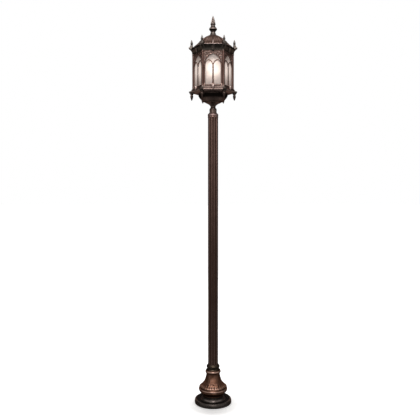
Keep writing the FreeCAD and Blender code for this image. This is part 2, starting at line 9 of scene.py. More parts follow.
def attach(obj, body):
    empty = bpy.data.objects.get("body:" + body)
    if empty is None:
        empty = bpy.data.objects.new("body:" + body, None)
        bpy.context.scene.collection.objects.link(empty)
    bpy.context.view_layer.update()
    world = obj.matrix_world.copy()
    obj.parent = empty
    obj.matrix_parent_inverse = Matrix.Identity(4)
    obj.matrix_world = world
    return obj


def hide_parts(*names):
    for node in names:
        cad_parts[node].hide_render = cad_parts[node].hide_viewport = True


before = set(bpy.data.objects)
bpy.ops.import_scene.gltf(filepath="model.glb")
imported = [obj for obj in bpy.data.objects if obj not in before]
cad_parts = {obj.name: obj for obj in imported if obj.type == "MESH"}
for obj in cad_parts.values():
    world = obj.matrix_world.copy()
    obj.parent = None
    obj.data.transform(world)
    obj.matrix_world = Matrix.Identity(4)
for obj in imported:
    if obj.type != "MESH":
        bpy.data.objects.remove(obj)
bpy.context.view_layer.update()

scene = bpy.context.scene

# All shapes below are worked out in millimetres in the row's frame (+Z up, the front
# looks along -Y) and written to the meshes in metres.
MM = 0.001
POST, ROOF, FINIAL = "post", "roof", "finial"


# =====================================================================  profiles
def spline(pts, per=8):
    """Smooth curve through pts (centripetal Catmull-Rom)."""
    p = np.array(pts, float)
    p = np.vstack([2 * p[0] - p[1], p, 2 * p[-1] - p[-2]])
    out = []
    for i in range(1, len(p) - 2):
        p0, p1, p2, p3 = p[i - 1 : i + 3]
        t0 = 0.0
        t1 = t0 + max(1e-6, np.linalg.norm(p1 - p0)) ** 0.5
        t2 = t1 + max(1e-6, np.linalg.norm(p2 - p1)) ** 0.5
        t3 = t2 + max(1e-6, np.linalg.norm(p3 - p2)) ** 0.5
        for t in np.linspace(t1, t2, per, endpoint=False):
            a1 = (t1 - t) / (t1 - t0) * p0 + (t - t0) / (t1 - t0) * p1
            a2 = (t2 - t) / (t2 - t1) * p1 + (t - t1) / (t2 - t1) * p2
            a3 = (t3 - t) / (t3 - t2) * p2 + (t - t2) / (t3 - t2) * p3
            b1 = (t2 - t) / (t2 - t0) * a1 + (t - t0) / (t2 - t0) * a2
            b2 = (t3 - t) / (t3 - t1) * a2 + (t - t1) / (t3 - t1) * a3
            out.append((t2 - t) / (t2 - t1) * b1 + (t - t1) / (t2 - t1) * b2)
    out.append(p[-2])
    return np.array(out)


def profile(*items, closed=True, per=6, arc=4):
    """Polyline from corner points (r, z), rounded corners (r, z, radius) and lists of points that a smooth curve goes through."""
    pts, rad = [], []
    for it in items:
        if isinstance(it, list):
            c = spline([pts[-1]] + it, per)
            for q in c[1:]:
                pts.append((q[0], q[1]))
                rad.append(0.0)
        else:
            pts.append((it[0], it[1]))
            rad.append(it[2] if len(it) > 2 else 0.0)
    out, n = [], len(pts)
    for i in range(n):
        if rad[i] <= 0 or (not closed and i in (0, n - 1)):
            out.append(pts[i])
            continue
        p, a, b = np.array(pts[i]), np.array(pts[i - 1]), np.array(pts[(i + 1) % n])
        da, db = a - p, b - p
        la, lb = np.linalg.norm(da), np.linalg.norm(db)
        da, db = da / la, db / lb
        ang = math.acos(max(-1.0, min(1.0, float(da @ db))))
        if ang > math.pi - 0.02 or ang < 0.02:
            out.append(pts[i])
            continue
        t = min(rad[i] / math.tan(ang / 2), 0.48 * la, 0.48 * lb)
        r = t * math.tan(ang / 2)
        bis = (da + db) / np.linalg.norm(da + db)
        c = p + bis * (r / math.sin(ang / 2))
        s, e = p + da * t - c, p + db * t - c
        for k in range(arc + 1):
            w = k / arc
            v = s * (1 - w) + e * w
            out.append(tuple(c + v / np.linalg.norm(v) * r))
    return np.array(out, float)


def split_long(prof, step, closed=True):
    """Adds points on stretches longer than step."""
    out, n = [], len(prof)
    for i in range(n if closed else n - 1):
        a, b = prof[i], prof[(i + 1) % n]
        k = max(1, int(math.ceil(np.linalg.norm(b - a) / step)))
        for j in range(k):
            out.append(a + (b - a) * j / k)
    if not closed:
        out.append(prof[-1])
    return np.array(out)


def smoothstep(a, b, x):
    t = np.clip((x - a) / (b - a), 0, 1)
    return t * t * (3 - 2 * t)


def face_angle(theta):
    """Angle from the middle of the nearest of the six faces, in degrees, -30 to 30."""
    return (np.degrees(theta) + 90.0 + 30.0) % 60.0 - 30.0


# =====================================================================  meshes
def grid_faces(rows, cols, wrap_rows, wrap_cols=True):
    faces = []
    for i in range(rows if wrap_rows else rows - 1):
        a, b = i * cols, ((i + 1) % rows) * cols
        for j in range(cols if wrap_cols else cols - 1):
            k = (j + 1) % cols
            faces.append((a + j, a + k, b + k, b + j))
    return faces


def lathe(prof, seg, shape=None, at=(0.0, 0.0), squeeze=None):
    """Turned form. prof is a closed loop, or an open line that starts and ends on the axis. shape(theta, r, z) may
    change r and z.
    """
    prof = np.asarray(prof, float)
    poles = prof[0, 0] < 1e-6 and prof[-1, 0] < 1e-6
    th = np.linspace(0, 2 * math.pi, seg, endpoint=False) + math.pi / seg
    T, _ = np.meshgrid(th, np.arange(len(prof)))
    R = np.repeat(prof[:, :1], seg, 1)
    Z = np.repeat(prof[:, 1:2], seg, 1)
    if shape is not None:
        R, Z = shape(T, R, Z)
    X, Y = R * np.cos(T), R * np.sin(T)
    if squeeze is not None:
        X, Y = X * squeeze[0], Y * squeeze[1]
    V = np.stack([X + at[0], Y + at[1], Z], -1)
    if not poles:
        return V.reshape(-1, 3), grid_faces(len(prof), seg, True)
    body = V[1:-1].reshape(-1, 3)
    n = len(body)
    lo = [at[0], at[1], prof[0, 1]]
    hi = [at[0], at[1], prof[-1, 1]]
    verts = np.vstack([body, [lo], [hi]])
    faces = grid_faces(len(prof) - 2, seg, False)
    last = (len(prof) - 3) * seg
    for j in range(seg):
        k = (j + 1) % seg
        faces.append((n, k, j))
        faces.append((n + 1, last + j, last + k))
    return verts, faces


def hexed(prof, per_side, shape=None):
    """Closed (apothem, z) profile carried round the hexagon. shape(f, a, z) may change apothem and z; f runs 0 to 1
    along a side.
    """
    prof = np.asarray(prof, float)
    n = len(prof)
    f = np.linspace(0, 1, per_side, endpoint=False)
    A = np.repeat(prof[:, :1], per_side, 1)
    Z = np.repeat(prof[:, 1:2], per_side, 1)
    F = np.repeat(f[None, :], n, 0)
    if shape is not None:
        A, Z = shape(F, A, Z)
    rows = []
    for k in range(6):
        t0, t1 = math.radians(-120 + 60 * k), math.radians(-60 + 60 * k)
        R = A / math.cos(math.radians(30))
        X = R * (math.cos(t0) * (1 - F) + math.cos(t1) * F)
        Y = R * (math.sin(t0) * (1 - F) + math.sin(t1) * F)
        rows.append(np.stack([X, Y, Z], -1))
    V = np.concatenate(rows, 1)
    return V.reshape(-1, 3), grid_faces(n, 6 * per_side, True)


def sweep(path, section, closed):
    """Section (across, height) carried along a flat path of (u, z) points. Returns (u, height, z) points. Closed, or with flat ends."""
    p = np.asarray(path, float)
    n = len(p)
    if closed:
        t0, t1 = p - np.roll(p, 1, 0), np.roll(p, -1, 0) - p
    else:
        t0 = np.vstack([p[1] - p[0], p[1:] - p[:-1]])
        t1 = np.vstack([p[1:] - p[:-1], p[-1] - p[-2]])
    t0 /= np.linalg.norm(t0, axis=1)[:, None]
    t1 /= np.linalg.norm(t1, axis=1)[:, None]
    n0 = np.stack([-t0[:, 1], t0[:, 0]], 1)
    n1 = np.stack([-t1[:, 1], t1[:, 0]], 1)
    m = n0 + n1
    m /= np.linalg.norm(m, axis=1)[:, None]
    scale = 1.0 / np.clip((m * n0).sum(1), 0.35, 1.0)
    s = np.asarray(section, float)
    k = len(s)
    U = p[:, None, 0] + m[:, None, 0] * s[None, :, 0] * scale[:, None]
    Zz = p[:, None, 1] + m[:, None, 1] * s[None, :, 0] * scale[:, None]
    H = np.repeat(s[None, :, 1], n, 0)
    V = np.stack([U, H, Zz], -1).reshape(-1, 3)
    faces = grid_faces(n, k, closed)
    if not closed:
        faces.append(tuple(range(k - 1, -1, -1)))
        faces.append(tuple((n - 1) * k + j for j in range(k)))
    return V, faces


def slab(loops, depth0, depth1, bevel):
    """Flat plate with holes, from outlines (x, y), with rounded edges, lying between depth0 and depth1. Returns (x, depth, y) points."""
    cu = bpy.data.curves.new("tmp", "CURVE")
    cu.dimensions = "2D"
    cu.fill_mode = "BOTH"
    cu.extrude = (depth1 - depth0) / 2 - bevel
    cu.bevel_depth = bevel
    cu.bevel_resolution = 1
    cu.offset = -bevel
    for loop in loops:
        sp = cu.splines.new("POLY")
        sp.points.add(len(loop) - 1)
        for q, (x, y) in zip(sp.points, loop):
            q.co = (x, y, 0, 1)
        sp.use_cyclic_u = True
    ob = bpy.data.objects.new("tmp", cu)
    scene.collection.objects.link(ob)
    bpy.context.view_layer.update()
    me = bpy.data.meshes.new_from_object(ob.evaluated_get(bpy.context.evaluated_depsgraph_get()))
    v = np.zeros(len(me.vertices) * 3)
    me.vertices.foreach_get("co", v)
    v = v.reshape(-1, 3)
    faces = [tuple(q.vertices) for q in me.polygons]
    bpy.data.objects.remove(ob)
    bpy.data.curves.remove(cu)
    bpy.data.meshes.remove(me)
    return np.stack([v[:, 0], v[:, 2] + (depth0 + depth1) / 2, v[:, 1]], -1), faces


def join(*parts):
    vs, fs, n = [], [], 0
    for v, f in parts:
        v = np.asarray(v, float)
        vs.append(v)
        fs += [tuple(i + n for i in q) for q in f]
        n += len(v)
    return np.vstack(vs), fs


def turned_by(part, deg):
    v, f = part
    c, s = math.cos(math.radians(deg)), math.sin(math.radians(deg))
    m = np.array([[c, s, 0], [-s, c, 0], [0, 0, 1]])
    return np.asarray(v) @ m, f


def face_place(part):
    """(u, apothem, z) points of the front face to row frame."""
    v, f = part
    v = np.asarray(v)
    return np.stack([v[:, 0], -v[:, 1], v[:, 2]], -1), f


def six(part, start=0.0):
    return join(*[turned_by(part, start + 60 * k) for k in range(6)])


def wear_of(me):
    """How far each point stands out (edges, ridges) or lies in (grooves), from the mesh's own curvature, in 1/mm, smoothed."""
    n = len(me.vertices)
    co = np.zeros(n * 3)
    me.vertices.foreach_get("co", co)
    co = co.reshape(-1, 3) / MM
    no = np.zeros(n * 3)
    me.vertex_normals.foreach_get("vector", no)
    no = no.reshape(-1, 3)
    e = np.zeros(len(me.edges) * 2, int)
    me.edges.foreach_get("vertices", e)
    a, b = e.reshape(-1, 2).T
    d = co[b] - co[a]
    L2 = np.maximum((d * d).sum(1), 1e-4)
    ka = -2 * (d * no[a]).sum(1) / L2
    kb = 2 * (d * no[b]).sum(1) / L2
    w = 1.0 / np.sqrt(L2)
    num, den = np.zeros(n), np.zeros(n)
    np.add.at(num, a, ka * w)
    np.add.at(num, b, kb * w)
    np.add.at(den, a, w)
    np.add.at(den, b, w)
    k = np.clip(num / np.maximum(den, 1e-9), -1.5, 1.5)
    for _ in range(2):
        num, den = k.copy() * 1.0, np.ones(n)
        np.add.at(num, a, k[b])
        np.add.at(num, b, k[a])
        np.add.at(den, a, 1.0)
        np.add.at(den, b, 1.0)
        k = num / den
    return k


def piece(name, part, body, mat, replaces=(), sharp=38, holes=()):
    """One visible piece: closed mesh in the row frame, riding on a body."""
    v, f = part
    me = bpy.data.meshes.new(name)
    me.from_pydata((np.asarray(v) * MM).tolist(), [], [list(q) for q in f])
    bm = bmesh.new()
    bm.from_mesh(me)
    bmesh.ops.remove_doubles(bm, verts=bm.verts, dist=2e-6)
    bmesh.ops.dissolve_degenerate(bm, edges=bm.edges, dist=1e-7)
    bmesh.ops.recalc_face_normals(bm, faces=bm.faces)
    bm.to_mesh(me)
    bm.free()
    ob = bpy.data.objects.new(name, me)
    scene.collection.objects.link(ob)
    for c, r, axis, length in holes:        # screw holes: centre, radius, direction, length
        cm = bpy.data.meshes.new("drill")
        b2 = bmesh.new()
        bmesh.ops.create_cone(b2, cap_ends=True, segments=28, radius1=r * MM, radius2=r * MM, depth=length * MM)
        b2.to_mesh(cm)
        b2.free()
        drill = bpy.data.objects.new("drill", cm)
        drill.matrix_world = Matrix.Translation(Vector(c) * MM) @ Vector((0, 0, 1)).rotation_difference(Vector(axis)).to_matrix().to_4x4()
        scene.collection.objects.link(drill)
        bpy.context.view_layer.update()
        md = ob.modifiers.new("hole", "BOOLEAN")
        md.operation, md.solver, md.object = "DIFFERENCE", "EXACT", drill
        bpy.context.view_layer.update()
        new = bpy.data.meshes.new_from_object(ob.evaluated_get(bpy.context.evaluated_depsgraph_get()))
        ob.modifiers.clear()
        old, ob.data = ob.data, new
        bpy.data.meshes.remove(old)
        bpy.data.objects.remove(drill)
        bpy.data.meshes.remove(cm)
    me = ob.data
    me.name = name
    me.shade_smooth()
    k = wear_of(me)
    at = me.attributes.new("wear_and_painted_light", "FLOAT", "POINT")
    at.data.foreach_set("value", np.clip(k, -1, 1).astype(np.float32))
    me.set_sharp_from_angle(angle=math.radians(sharp))
    me.materials.clear()
    me.materials.append(mat)
    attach(ob, body)
    if replaces:
        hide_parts(*replaces)
    return ob


# =====================================================================  materials
def new_material(name):
    m = bpy.data.materials.new(name)
    m.use_nodes = True
    nt = m.node_tree
    nt.nodes.clear()
    out = nt.nodes.new("ShaderNodeOutputMaterial")
    b = nt.nodes.new("ShaderNodeBsdfPrincipled")
    nt.links.new(b.outputs["BSDF"], out.inputs["Surface"])
    return m, nt, b


def noise(nt, scale, detail=4.0, rough=0.55, coord=None):
    n = nt.nodes.new("ShaderNodeTexNoise")
    n.inputs["Scale"].default_value = scale
    n.inputs["Detail"].default_value = detail
    n.inputs["Roughness"].default_value = rough
    nt.links.new(coord, n.inputs["Vector"])
    return n.outputs["Fac"]


def remap(nt, value, a, b, c=0.0, d=1.0, smooth=True):
    n = nt.nodes.new("ShaderNodeMapRange")
    if smooth:
        n.interpolation_type = "SMOOTHSTEP"
    n.inputs["From Min"].default_value = a
    n.inputs["From Max"].default_value = b
    n.inputs["To Min"].default_value = c
    n.inputs["To Max"].default_value = d
    nt.links.new(value, n.inputs["Value"])
    return n.outputs["Result"]


def math_node(nt, op, x, y):
    n = nt.nodes.new("ShaderNodeMath")
    n.operation = op
    for i, q in enumerate((x, y)):
        if isinstance(q, (int, float)):
            n.inputs[i].default_value = q
        else:
            nt.links.new(q, n.inputs[i])
    return n.outputs[0]


def mix_color(nt, fac, a, b, blend="MIX"):
    n = nt.nodes.new("ShaderNodeMix")
    n.data_type = "RGBA"
    n.blend_type = blend
    for sock, q in ((n.inputs[0], fac), (n.inputs[6], a), (n.inputs[7], b)):
        if isinstance(q, (int, float)):
            sock.default_value = q
        elif isinstance(q, (tuple, list)):
            sock.default_value = tuple(q) + (1.0,)
        else:
            nt.links.new(q, sock)
    return n.outputs[2]


def bump(nt, bsdf, height, distance, strength=1.0):
    n = nt.nodes.new("ShaderNodeBump")
    n.inputs["Distance"].default_value = distance
    n.inputs["Strength"].default_value = strength
    nt.links.new(height, n.inputs["Height"])
    nt.links.new(n.outputs["Normal"], bsdf.inputs["Normal"])


def object_coords(nt):
    return nt.nodes.new("ShaderNodeTexCoord").outputs["Object"]


def bronze(name, dark, mid, worn_and_highlit, groove_and_shade, rough_low, rough_high, grain=0.00004, metal=0.9, streaks=0.10):
    """Painted and rubbed cast metal: blotchy brown coat, copper rubbed through on edges, dull dark grooves, fine
    sand-cast grain. The wear attribute also carries painted highlights (in the worn colour) and painted shade (in the
    groove colour), set piece by piece.
    """
    m, nt, b = new_material(name)
    co = object_coords(nt)
    blotch = remap(nt, noise(nt, 24.0, 4.0, 0.55, co), 0.30, 0.70)
    fine = noise(nt, 420.0, 4.0, 0.6, co)
    streak_map = nt.nodes.new("ShaderNodeMapping")
    streak_map.inputs["Scale"].default_value = (160.0, 160.0, 14.0)
    nt.links.new(co, streak_map.inputs["Vector"])
    streak = remap(nt, noise(nt, 1.0, 3.0, 0.5, streak_map.outputs["Vector"]), 0.4, 0.7)
    col = mix_color(nt, blotch, dark, mid)
    col = mix_color(nt, math_node(nt, "MULTIPLY", streak, streaks), col, worn_and_highlit)
    at = nt.nodes.new("ShaderNodeAttribute")
    at.attribute_name = "wear_and_painted_light"
    k = at.outputs["Fac"]
    rubbed_and_highlit = remap(nt, math_node(nt, "ADD", k, math_node(nt, "MULTIPLY", math_node(nt, "SUBTRACT", fine, 0.5), 0.4)), 0.16, 0.72)
    sunk_and_shaded = remap(nt, k, -0.03, -0.30)
    col = mix_color(nt, rubbed_and_highlit, col, worn_and_highlit)
    col = mix_color(nt, sunk_and_shaded, col, groove_and_shade)
    nt.links.new(col, b.inputs["Base Color"])
    b.inputs["Metallic"].default_value = metal
    rough = remap(nt, fine, 0.3, 0.75, rough_low, rough_high)
    rough = math_node(nt, "ADD", rough, math_node(nt, "MULTIPLY", sunk_and_shaded, 0.22))
    rough = math_node(nt, "SUBTRACT", rough, math_node(nt, "MULTIPLY", rubbed_and_highlit, 0.08))
    nt.links.new(rough, b.inputs["Roughness"])
    b.inputs["Specular Tint"].default_value = (0.35, 0.26, 0.22, 1.0)
    height = math_node(nt, "ADD", noise(nt, 900.0, 3.0, 0.6, co), math_node(nt, "MULTIPLY", noise(nt, 210.0, 2.0, 0.5, co), 0.7))
    bump(nt, b, height, grain)
    return m


M_BRONZE = bronze("post_bronze", (0.125, 0.071, 0.058), (0.165, 0.095, 0.079), (0.30, 0.190, 0.162), (0.052, 0.0310, 0.0235), 0.22, 0.32)
M_COPPER = bronze("copper_bronze", (0.100, 0.047, 0.030), (0.140, 0.068, 0.044), (0.50, 0.335, 0.275), (0.016, 0.009, 0.0065), 0.28, 0.38)
M_LANTERN = bronze("lantern_bronze", (0.090, 0.051, 0.042), (0.135, 0.079, 0.066), (0.40, 0.275, 0.240), (0.014, 0.0095, 0.008), 0.30, 0.42)
M_PLATE = bronze("shaded_bronze", (0.026, 0.0150, 0.0120), (0.042, 0.0250, 0.0200), (0.16, 0.105, 0.088), (0.008, 0.006, 0.005), 0.38, 0.50)
M_TRAY = bronze("mottled_bronze", (0.040, 0.0280, 0.0240), (0.085, 0.0620, 0.0550), (0.18, 0.132, 0.118), (0.018, 0.0130, 0.0110), 0.42, 0.56, streaks=0.30)
M_PINK = bronze("pink_bronze", (0.190, 0.118, 0.107), (0.280, 0.182, 0.168), (0.48, 0.350, 0.325), (0.026, 0.017, 0.015), 0.28, 0.40)
M_ROOF = bronze("roof_bronze", (0.108, 0.069, 0.057), (0.170, 0.112, 0.095), (0.40, 0.295, 0.262), (0.016, 0.0115, 0.0095), 0.36, 0.50)
M_FINIAL = bronze("grey_bronze", (0.100, 0.080, 0.072), (0.165, 0.134, 0.122), (0.42, 0.350, 0.322), (0.022, 0.018, 0.016), 0.26, 0.38)
# pale coat that paints the corbels' highlight
M_PAINTED_HIGHLIGHT = bronze("highlight_bronze", (0.44, 0.320, 0.285), (0.56, 0.420, 0.380), (0.78, 0.640, 0.590), (0.070, 0.046, 0.039), 0.28, 0.40)
M_DARK = bronze("dark_bronze_green", (0.034, 0.0290, 0.0245), (0.056, 0.0480, 0.0410), (0.12, 0.098, 0.087), (0.007, 0.0062, 0.0055), 0.30, 0.42)
M_BOWL = bronze("bowl_bronze", (0.070, 0.0500, 0.0425), (0.125, 0.0880, 0.0750), (0.22, 0.160, 0.138), (0.013, 0.0100, 0.0085), 0.32, 0.46)
M_FOOT = bronze("foot_bronze", (0.052, 0.044, 0.041), (0.080, 0.067, 0.062), (0.20, 0.168, 0.158), (0.014, 0.012, 0.011), 0.22, 0.32)
M_OLIVE = bronze("olive_bronze", (0.030, 0.0225, 0.0155), (0.046, 0.0350, 0.0255), (0.10, 0.076, 0.060), (0.010, 0.0075, 0.0055), 0.28, 0.40)

M_LEAF = bronze("leaf_bronze", (0.074, 0.044, 0.037), (0.110, 0.067, 0.057), (0.30, 0.205, 0.178), (0.012, 0.0085, 0.007), 0.32, 0.44)
M_COLUMN = bronze("column_bronze", (0.110, 0.062, 0.051), (0.160, 0.093, 0.078), (0.42, 0.288, 0.250), (0.016, 0.0105, 0.009), 0.30, 0.42)
M_CORNER = bronze("corner_bronze", (0.066, 0.0590, 0.0540), (0.108, 0.0980, 0.0910), (0.17, 0.153, 0.143), (0.012, 0.0105, 0.009), 0.30, 0.42)
# lighter copy of the tray's coat, painted light for the tray and cornice brackets, which the moulding lamps don't reach
M_BRACKET_LIT = bronze("bracket_lit_bronze", (0.100, 0.0850, 0.0750), (0.155, 0.1330, 0.1180), (0.18, 0.156, 0.142), (0.012, 0.0105, 0.009), 0.32, 0.44)
# pale coat that paints the highlight on the roof ribs
M_RIB_HIGHLIGHT = bronze("rib_highlight_bronze", (0.150, 0.105, 0.092), (0.200, 0.142, 0.125), (0.70, 0.550, 0.500), (0.020, 0.014, 0.012), 0.34, 0.46)
# paler coat that paints the highlight along the cornice's bead
M_LIP_HIGHLIGHT = bronze("lip_highlight_bronze", (0.114, 0.081, 0.073), (0.160, 0.114, 0.104), (0.27, 0.212, 0.198), (0.020, 0.014, 0.012), 0.30, 0.42)


def plain(name, a, b_col, rough0, rough1, metal=0.0, scale=300.0, grain=0.00008, coat=0.0):
    m, nt, b = new_material(name)
    co = object_coords(nt)
    f = noise(nt, scale, 4.0, 0.55, co)
    nt.links.new(mix_color(nt, remap(nt, f, 0.3, 0.7), a, b_col), b.inputs["Base Color"])
    nt.links.new(remap(nt, noise(nt, scale * 0.4, 3.0, 0.5, co), 0.3, 0.7, rough0, rough1), b.inputs["Roughness"])
    b.inputs["Metallic"].default_value = metal
    b.inputs["Coat Weight"].default_value = coat
    bump(nt, b, f, grain)
    return m


M_ZINC = plain("zinc_steel", (0.36, 0.36, 0.35), (0.60, 0.60, 0.58), 0.28, 0.5, 1.0, 240.0)
M_SCREW = plain("browned_screw", (0.035, 0.020, 0.015), (0.10, 0.055, 0.040), 0.35, 0.55, 0.9, 500.0)
M_RUBBER = plain("black_rubber", (0.012, 0.012, 0.012), (0.030, 0.029, 0.028), 0.65, 0.85, 0.0, 700.0)
M_PLASTIC = plain("grey_plastic", (0.42, 0.42, 0.40), (0.52, 0.52, 0.50), 0.45, 0.6, 0.0, 500.0)
M_PORCELAIN = plain("white_porcelain", (0.74, 0.72, 0.68), (0.82, 0.80, 0.76), 0.12, 0.22, 0.0, 120.0, 0.00003, 0.4)
M_SHEATH = plain("black_sheath", (0.016, 0.016, 0.017), (0.035, 0.034, 0.034), 0.5, 0.65, 0.0, 600.0)

# frosted pane: painted glow of scattered lamp light, brightest beside the bulb, with a faint seeded texture
M_GLASS, nt, b = new_material("frosted_glass")
co = object_coords(nt)
seed = noise(nt, 260.0, 4.0, 0.6, co)
cloud = noise(nt, 30.0, 3.0, 0.5, co)
at = nt.nodes.new("ShaderNodeAttribute")
at.attribute_name = "glow"
glow = at.outputs["Fac"]
nt.links.new(mix_color(nt, remap(nt, cloud, 0.35, 0.65), (0.335, 0.290, 0.265), (0.385, 0.335, 0.310)), b.inputs["Base Color"])
nt.links.new(remap(nt, seed, 0.3, 0.7, 0.52, 0.64), b.inputs["Roughness"])
nt.links.new(mix_color(nt, glow, (1.0, 0.83, 0.75), (1.0, 0.97, 0.92)), b.inputs["Emission Color"])
nt.links.new(math_node(nt, "MULTIPLY", glow, math_node(nt, "ADD", math_node(nt, "MULTIPLY", cloud, 0.25), 0.88)), b.inputs["Emission Strength"])
b.inputs["Transmission Weight"].default_value = 0.50
b.inputs["IOR"].default_value = 1.46
bump(nt, b, seed, 0.00012)

M_BULB, nt, b = new_material("lit_bulb")
co = object_coords(nt)
b.inputs["Base Color"].default_value = (0.92, 0.90, 0.86, 1.0)
b.inputs["Roughness"].default_value = 0.3
sep = nt.nodes.new("ShaderNodeSeparateXYZ")
nt.links.new(co, sep.inputs[0])
lit = remap(nt, sep.outputs["Z"], 1.741, 1.775)
b.inputs["Emission Color"].default_value = (1.0, 0.95, 0.88, 1.0)
nt.links.new(math_node(nt, "MULTIPLY", lit, math_node(nt, "ADD", math_node(nt, "MULTIPLY", noise(nt, 40.0, 2.0, 0.5, co), 0.4), 9.0)), b.inputs["Emission Strength"])
metal_cap = remap(nt, sep.outputs["Z"], 1.7405, 1.7395, 0.0, 1.0, False)
nt.links.new(metal_cap, b.inputs["Metallic"])

# =====================================================================  base
foot_prof = profile(
    (92.0, 0.0, 0.8), (98.4, 0.0, 0.8), [(99.5, 1.6), (99.7, 5.0), (99.2, 12.0), (97.8, 18.0)], (97.2, 19.6), (96.4, 20.2), (96.0, 21.2), [(94.6, 22.2), (92.6, 22.5), (91.2, 22.1)], (90.4, 21.6), (89.6, 21.9),
    [(86.0, 21.6), (76.0, 20.3), (68.6, 19.8)], (67.4, 19.9), (66.8, 20.6, 0.4), (64.6, 20.8), [(63.2, 21.8), (62.2, 23.4), (61.4, 26.2), (59.6, 30.2), (56.8, 33.2)], (55.8, 33.8, 0.3), (55.4, 34.8), (53.4, 35.6, 0.4), (53.2, 40.0),
    (49.9, 40.0), (49.9, 24.0), (42.0, 24.0), (42.0, 17.0), (54.0, 17.0), (84.0, 15.2), (90.0, 12.5), (92.0, 9.0))
rim_holes = []
for d in (90.0, 210.0, 330.0):
    c, s = math.cos(math.radians(d)), math.sin(math.radians(d))
    rim_holes.append(((100.4 * c, 100.4 * s, 10.0), 4.6, (c, s, 0.0), 8.0))
foot = piece("foot", lathe(split_long(foot_prof, 3.0), 160), POST, M_FOOT, ["foot_casting"], holes=rim_holes)
# painted highlights on the crest of the raised seat and on the rim's top edge, painted shade on the deck between them
# and on the seat's top under the bell
co = np.zeros(len(foot.data.vertices) * 3)
foot.data.vertices.foreach_get("co", co)
co = co.reshape(-1, 3) / MM
r_here, z_here = np.hypot(co[:, 0], co[:, 1]), co[:, 2]
wear_and_painted_light = 0.9 * np.exp(-(((z_here - 25.6) / 1.8) ** 2)) * (np.abs(r_here - 61.0) < 3.5) + 0.7 * np.exp(-(((r_here - 93.6) / 1.5) ** 2)) * (z_here > 20.0)
wear_and_painted_light = wear_and_painted_light - 0.22 * smoothstep(63.5, 66.0, r_here) * smoothstep(91.5, 88.0, r_here) * (z_here > 18.0) - 0.2 * smoothstep(29.0, 32.0, z_here)
foot.data.attributes["wear_and_painted_light"].data.foreach_set("value", np.clip(wear_and_painted_light, -1, 1).astype(np.float32))

bell_outer = profile(
    (49.6, 24.2), (49.6, 40.0), (53.0, 40.0, 0.4), (53.0, 43.5), [(56.2, 48.5), (62.6, 54.0), (71.0, 60.5), (75.2, 66.2)], (76.0, 68.6), (75.6, 69.6), (76.4, 70.8),
    [(77.6, 73.0), (77.8, 75.4), (77.2, 78.4), (75.8, 81.4), (74.6, 83.2)], (73.9, 84.2), (73.8, 85.2), (74.2, 86.0), (74.4, 86.8),
    [(70.6, 92.2), (66.6, 95.8), (61.8, 99.5), (54.4, 108.0), (47.4, 118.0), (42.6, 129.5), (39.0, 142.0), (36.8, 153.0), (36.2, 157.4)],
    (36.0, 158.8), (37.2, 160.2), [(39.4, 162.0), (41.3, 164.8), (41.8, 168.0), (41.2, 171.8), (39.6, 175.6), (37.4, 178.6)], (36.4, 179.4), (36.2, 180.0),
    (28.3, 180.0), (28.3, 122.0), (20.0, 122.0), (20.0, 116.0), (40.0, 116.0),
    [(44.6, 108.0), (51.4, 99.5), (59.4, 91.0), (64.8, 82.0), (66.4, 73.0), (63.4, 65.5), (57.0, 59.5), (49.5, 54.5)], (42.5, 50.0), (42.5, 24.2), per=7)
bell_outer = split_long(bell_outer, 2.2)
FLAT_Z = [24.0, 82.0, 88.0, 92.0, 99.5, 108.0, 118.0, 129.5, 142.0, 153.0, 158.5, 181.0]
FLAT_F = [1.03, 1.03, 0.955, 0.94, 0.935, 0.935, 0.94, 0.945, 0.955, 0.98, 1.03, 1.03]


def palmette(phi, z):
    """Relief of one leaf fan per face, in mm: five upright leaves side by side, the middle one tallest, each with a vein."""
    h = np.zeros_like(phi)
    for k in range(-2, 3):
        top = (117.0, 115.0, 110.0)[abs(k)]
        s = np.clip((z - 87.0) / (top - 87.0), 0, 1)
        lean = 1.0 - 0.10 * s                              # the leaves close up a little towards the top
        d = (phi - 12.0 * k * lean) / 5.7
        w = np.clip(1 - s**2.6, 1e-6, 1) ** 0.75
        body = np.clip(1 - (d / w) ** 2, 0, 1) ** 0.6
        curl = 0.45 + 0.55 * np.exp(-(((s - 0.26) / 0.26) ** 2))
        vein = 1.0 - 0.42 * np.exp(-((d / 0.15) ** 2)) * smoothstep(1.0, 0.8, s)
        h = np.maximum(h, body * curl * vein * 2.7 * smoothstep(87.0, 90.0, z) * (s < 1))
    return h


def bell_shape(T, R, Z):
    phi = face_angle(T)
    outer = np.zeros_like(R, bool)
    n_out = int(np.argmin(np.abs(bell_outer[:, 0] - 28.3) + np.abs(bell_outer[:, 1] - 180.0)))
    outer[2:n_out] = True
    f = np.interp(Z, FLAT_Z, FLAT_F)
    flat = R * f / np.cos(np.radians(phi))
    p = 46.0
    soft = ((flat / R) ** -p + 1.0) ** (-1.0 / p) * R
    relief = palmette(phi, Z)
    return np.where(outer & (Z > 43.0) & (Z < 159.0), soft + relief, R), Z


grub_holes = []
for d in (90.0, 210.0, 330.0):
    c, s = math.cos(math.radians(d)), math.sin(math.radians(d))
    grub_holes.append(((37.0 * c, 37.0 * s, 152.0), 3.1, (c, s, 0.0), 14.0))
bell = piece("bell", lathe(bell_outer, 288, bell_shape), POST, M_COPPER, ["bell_casting"], holes=grub_holes)
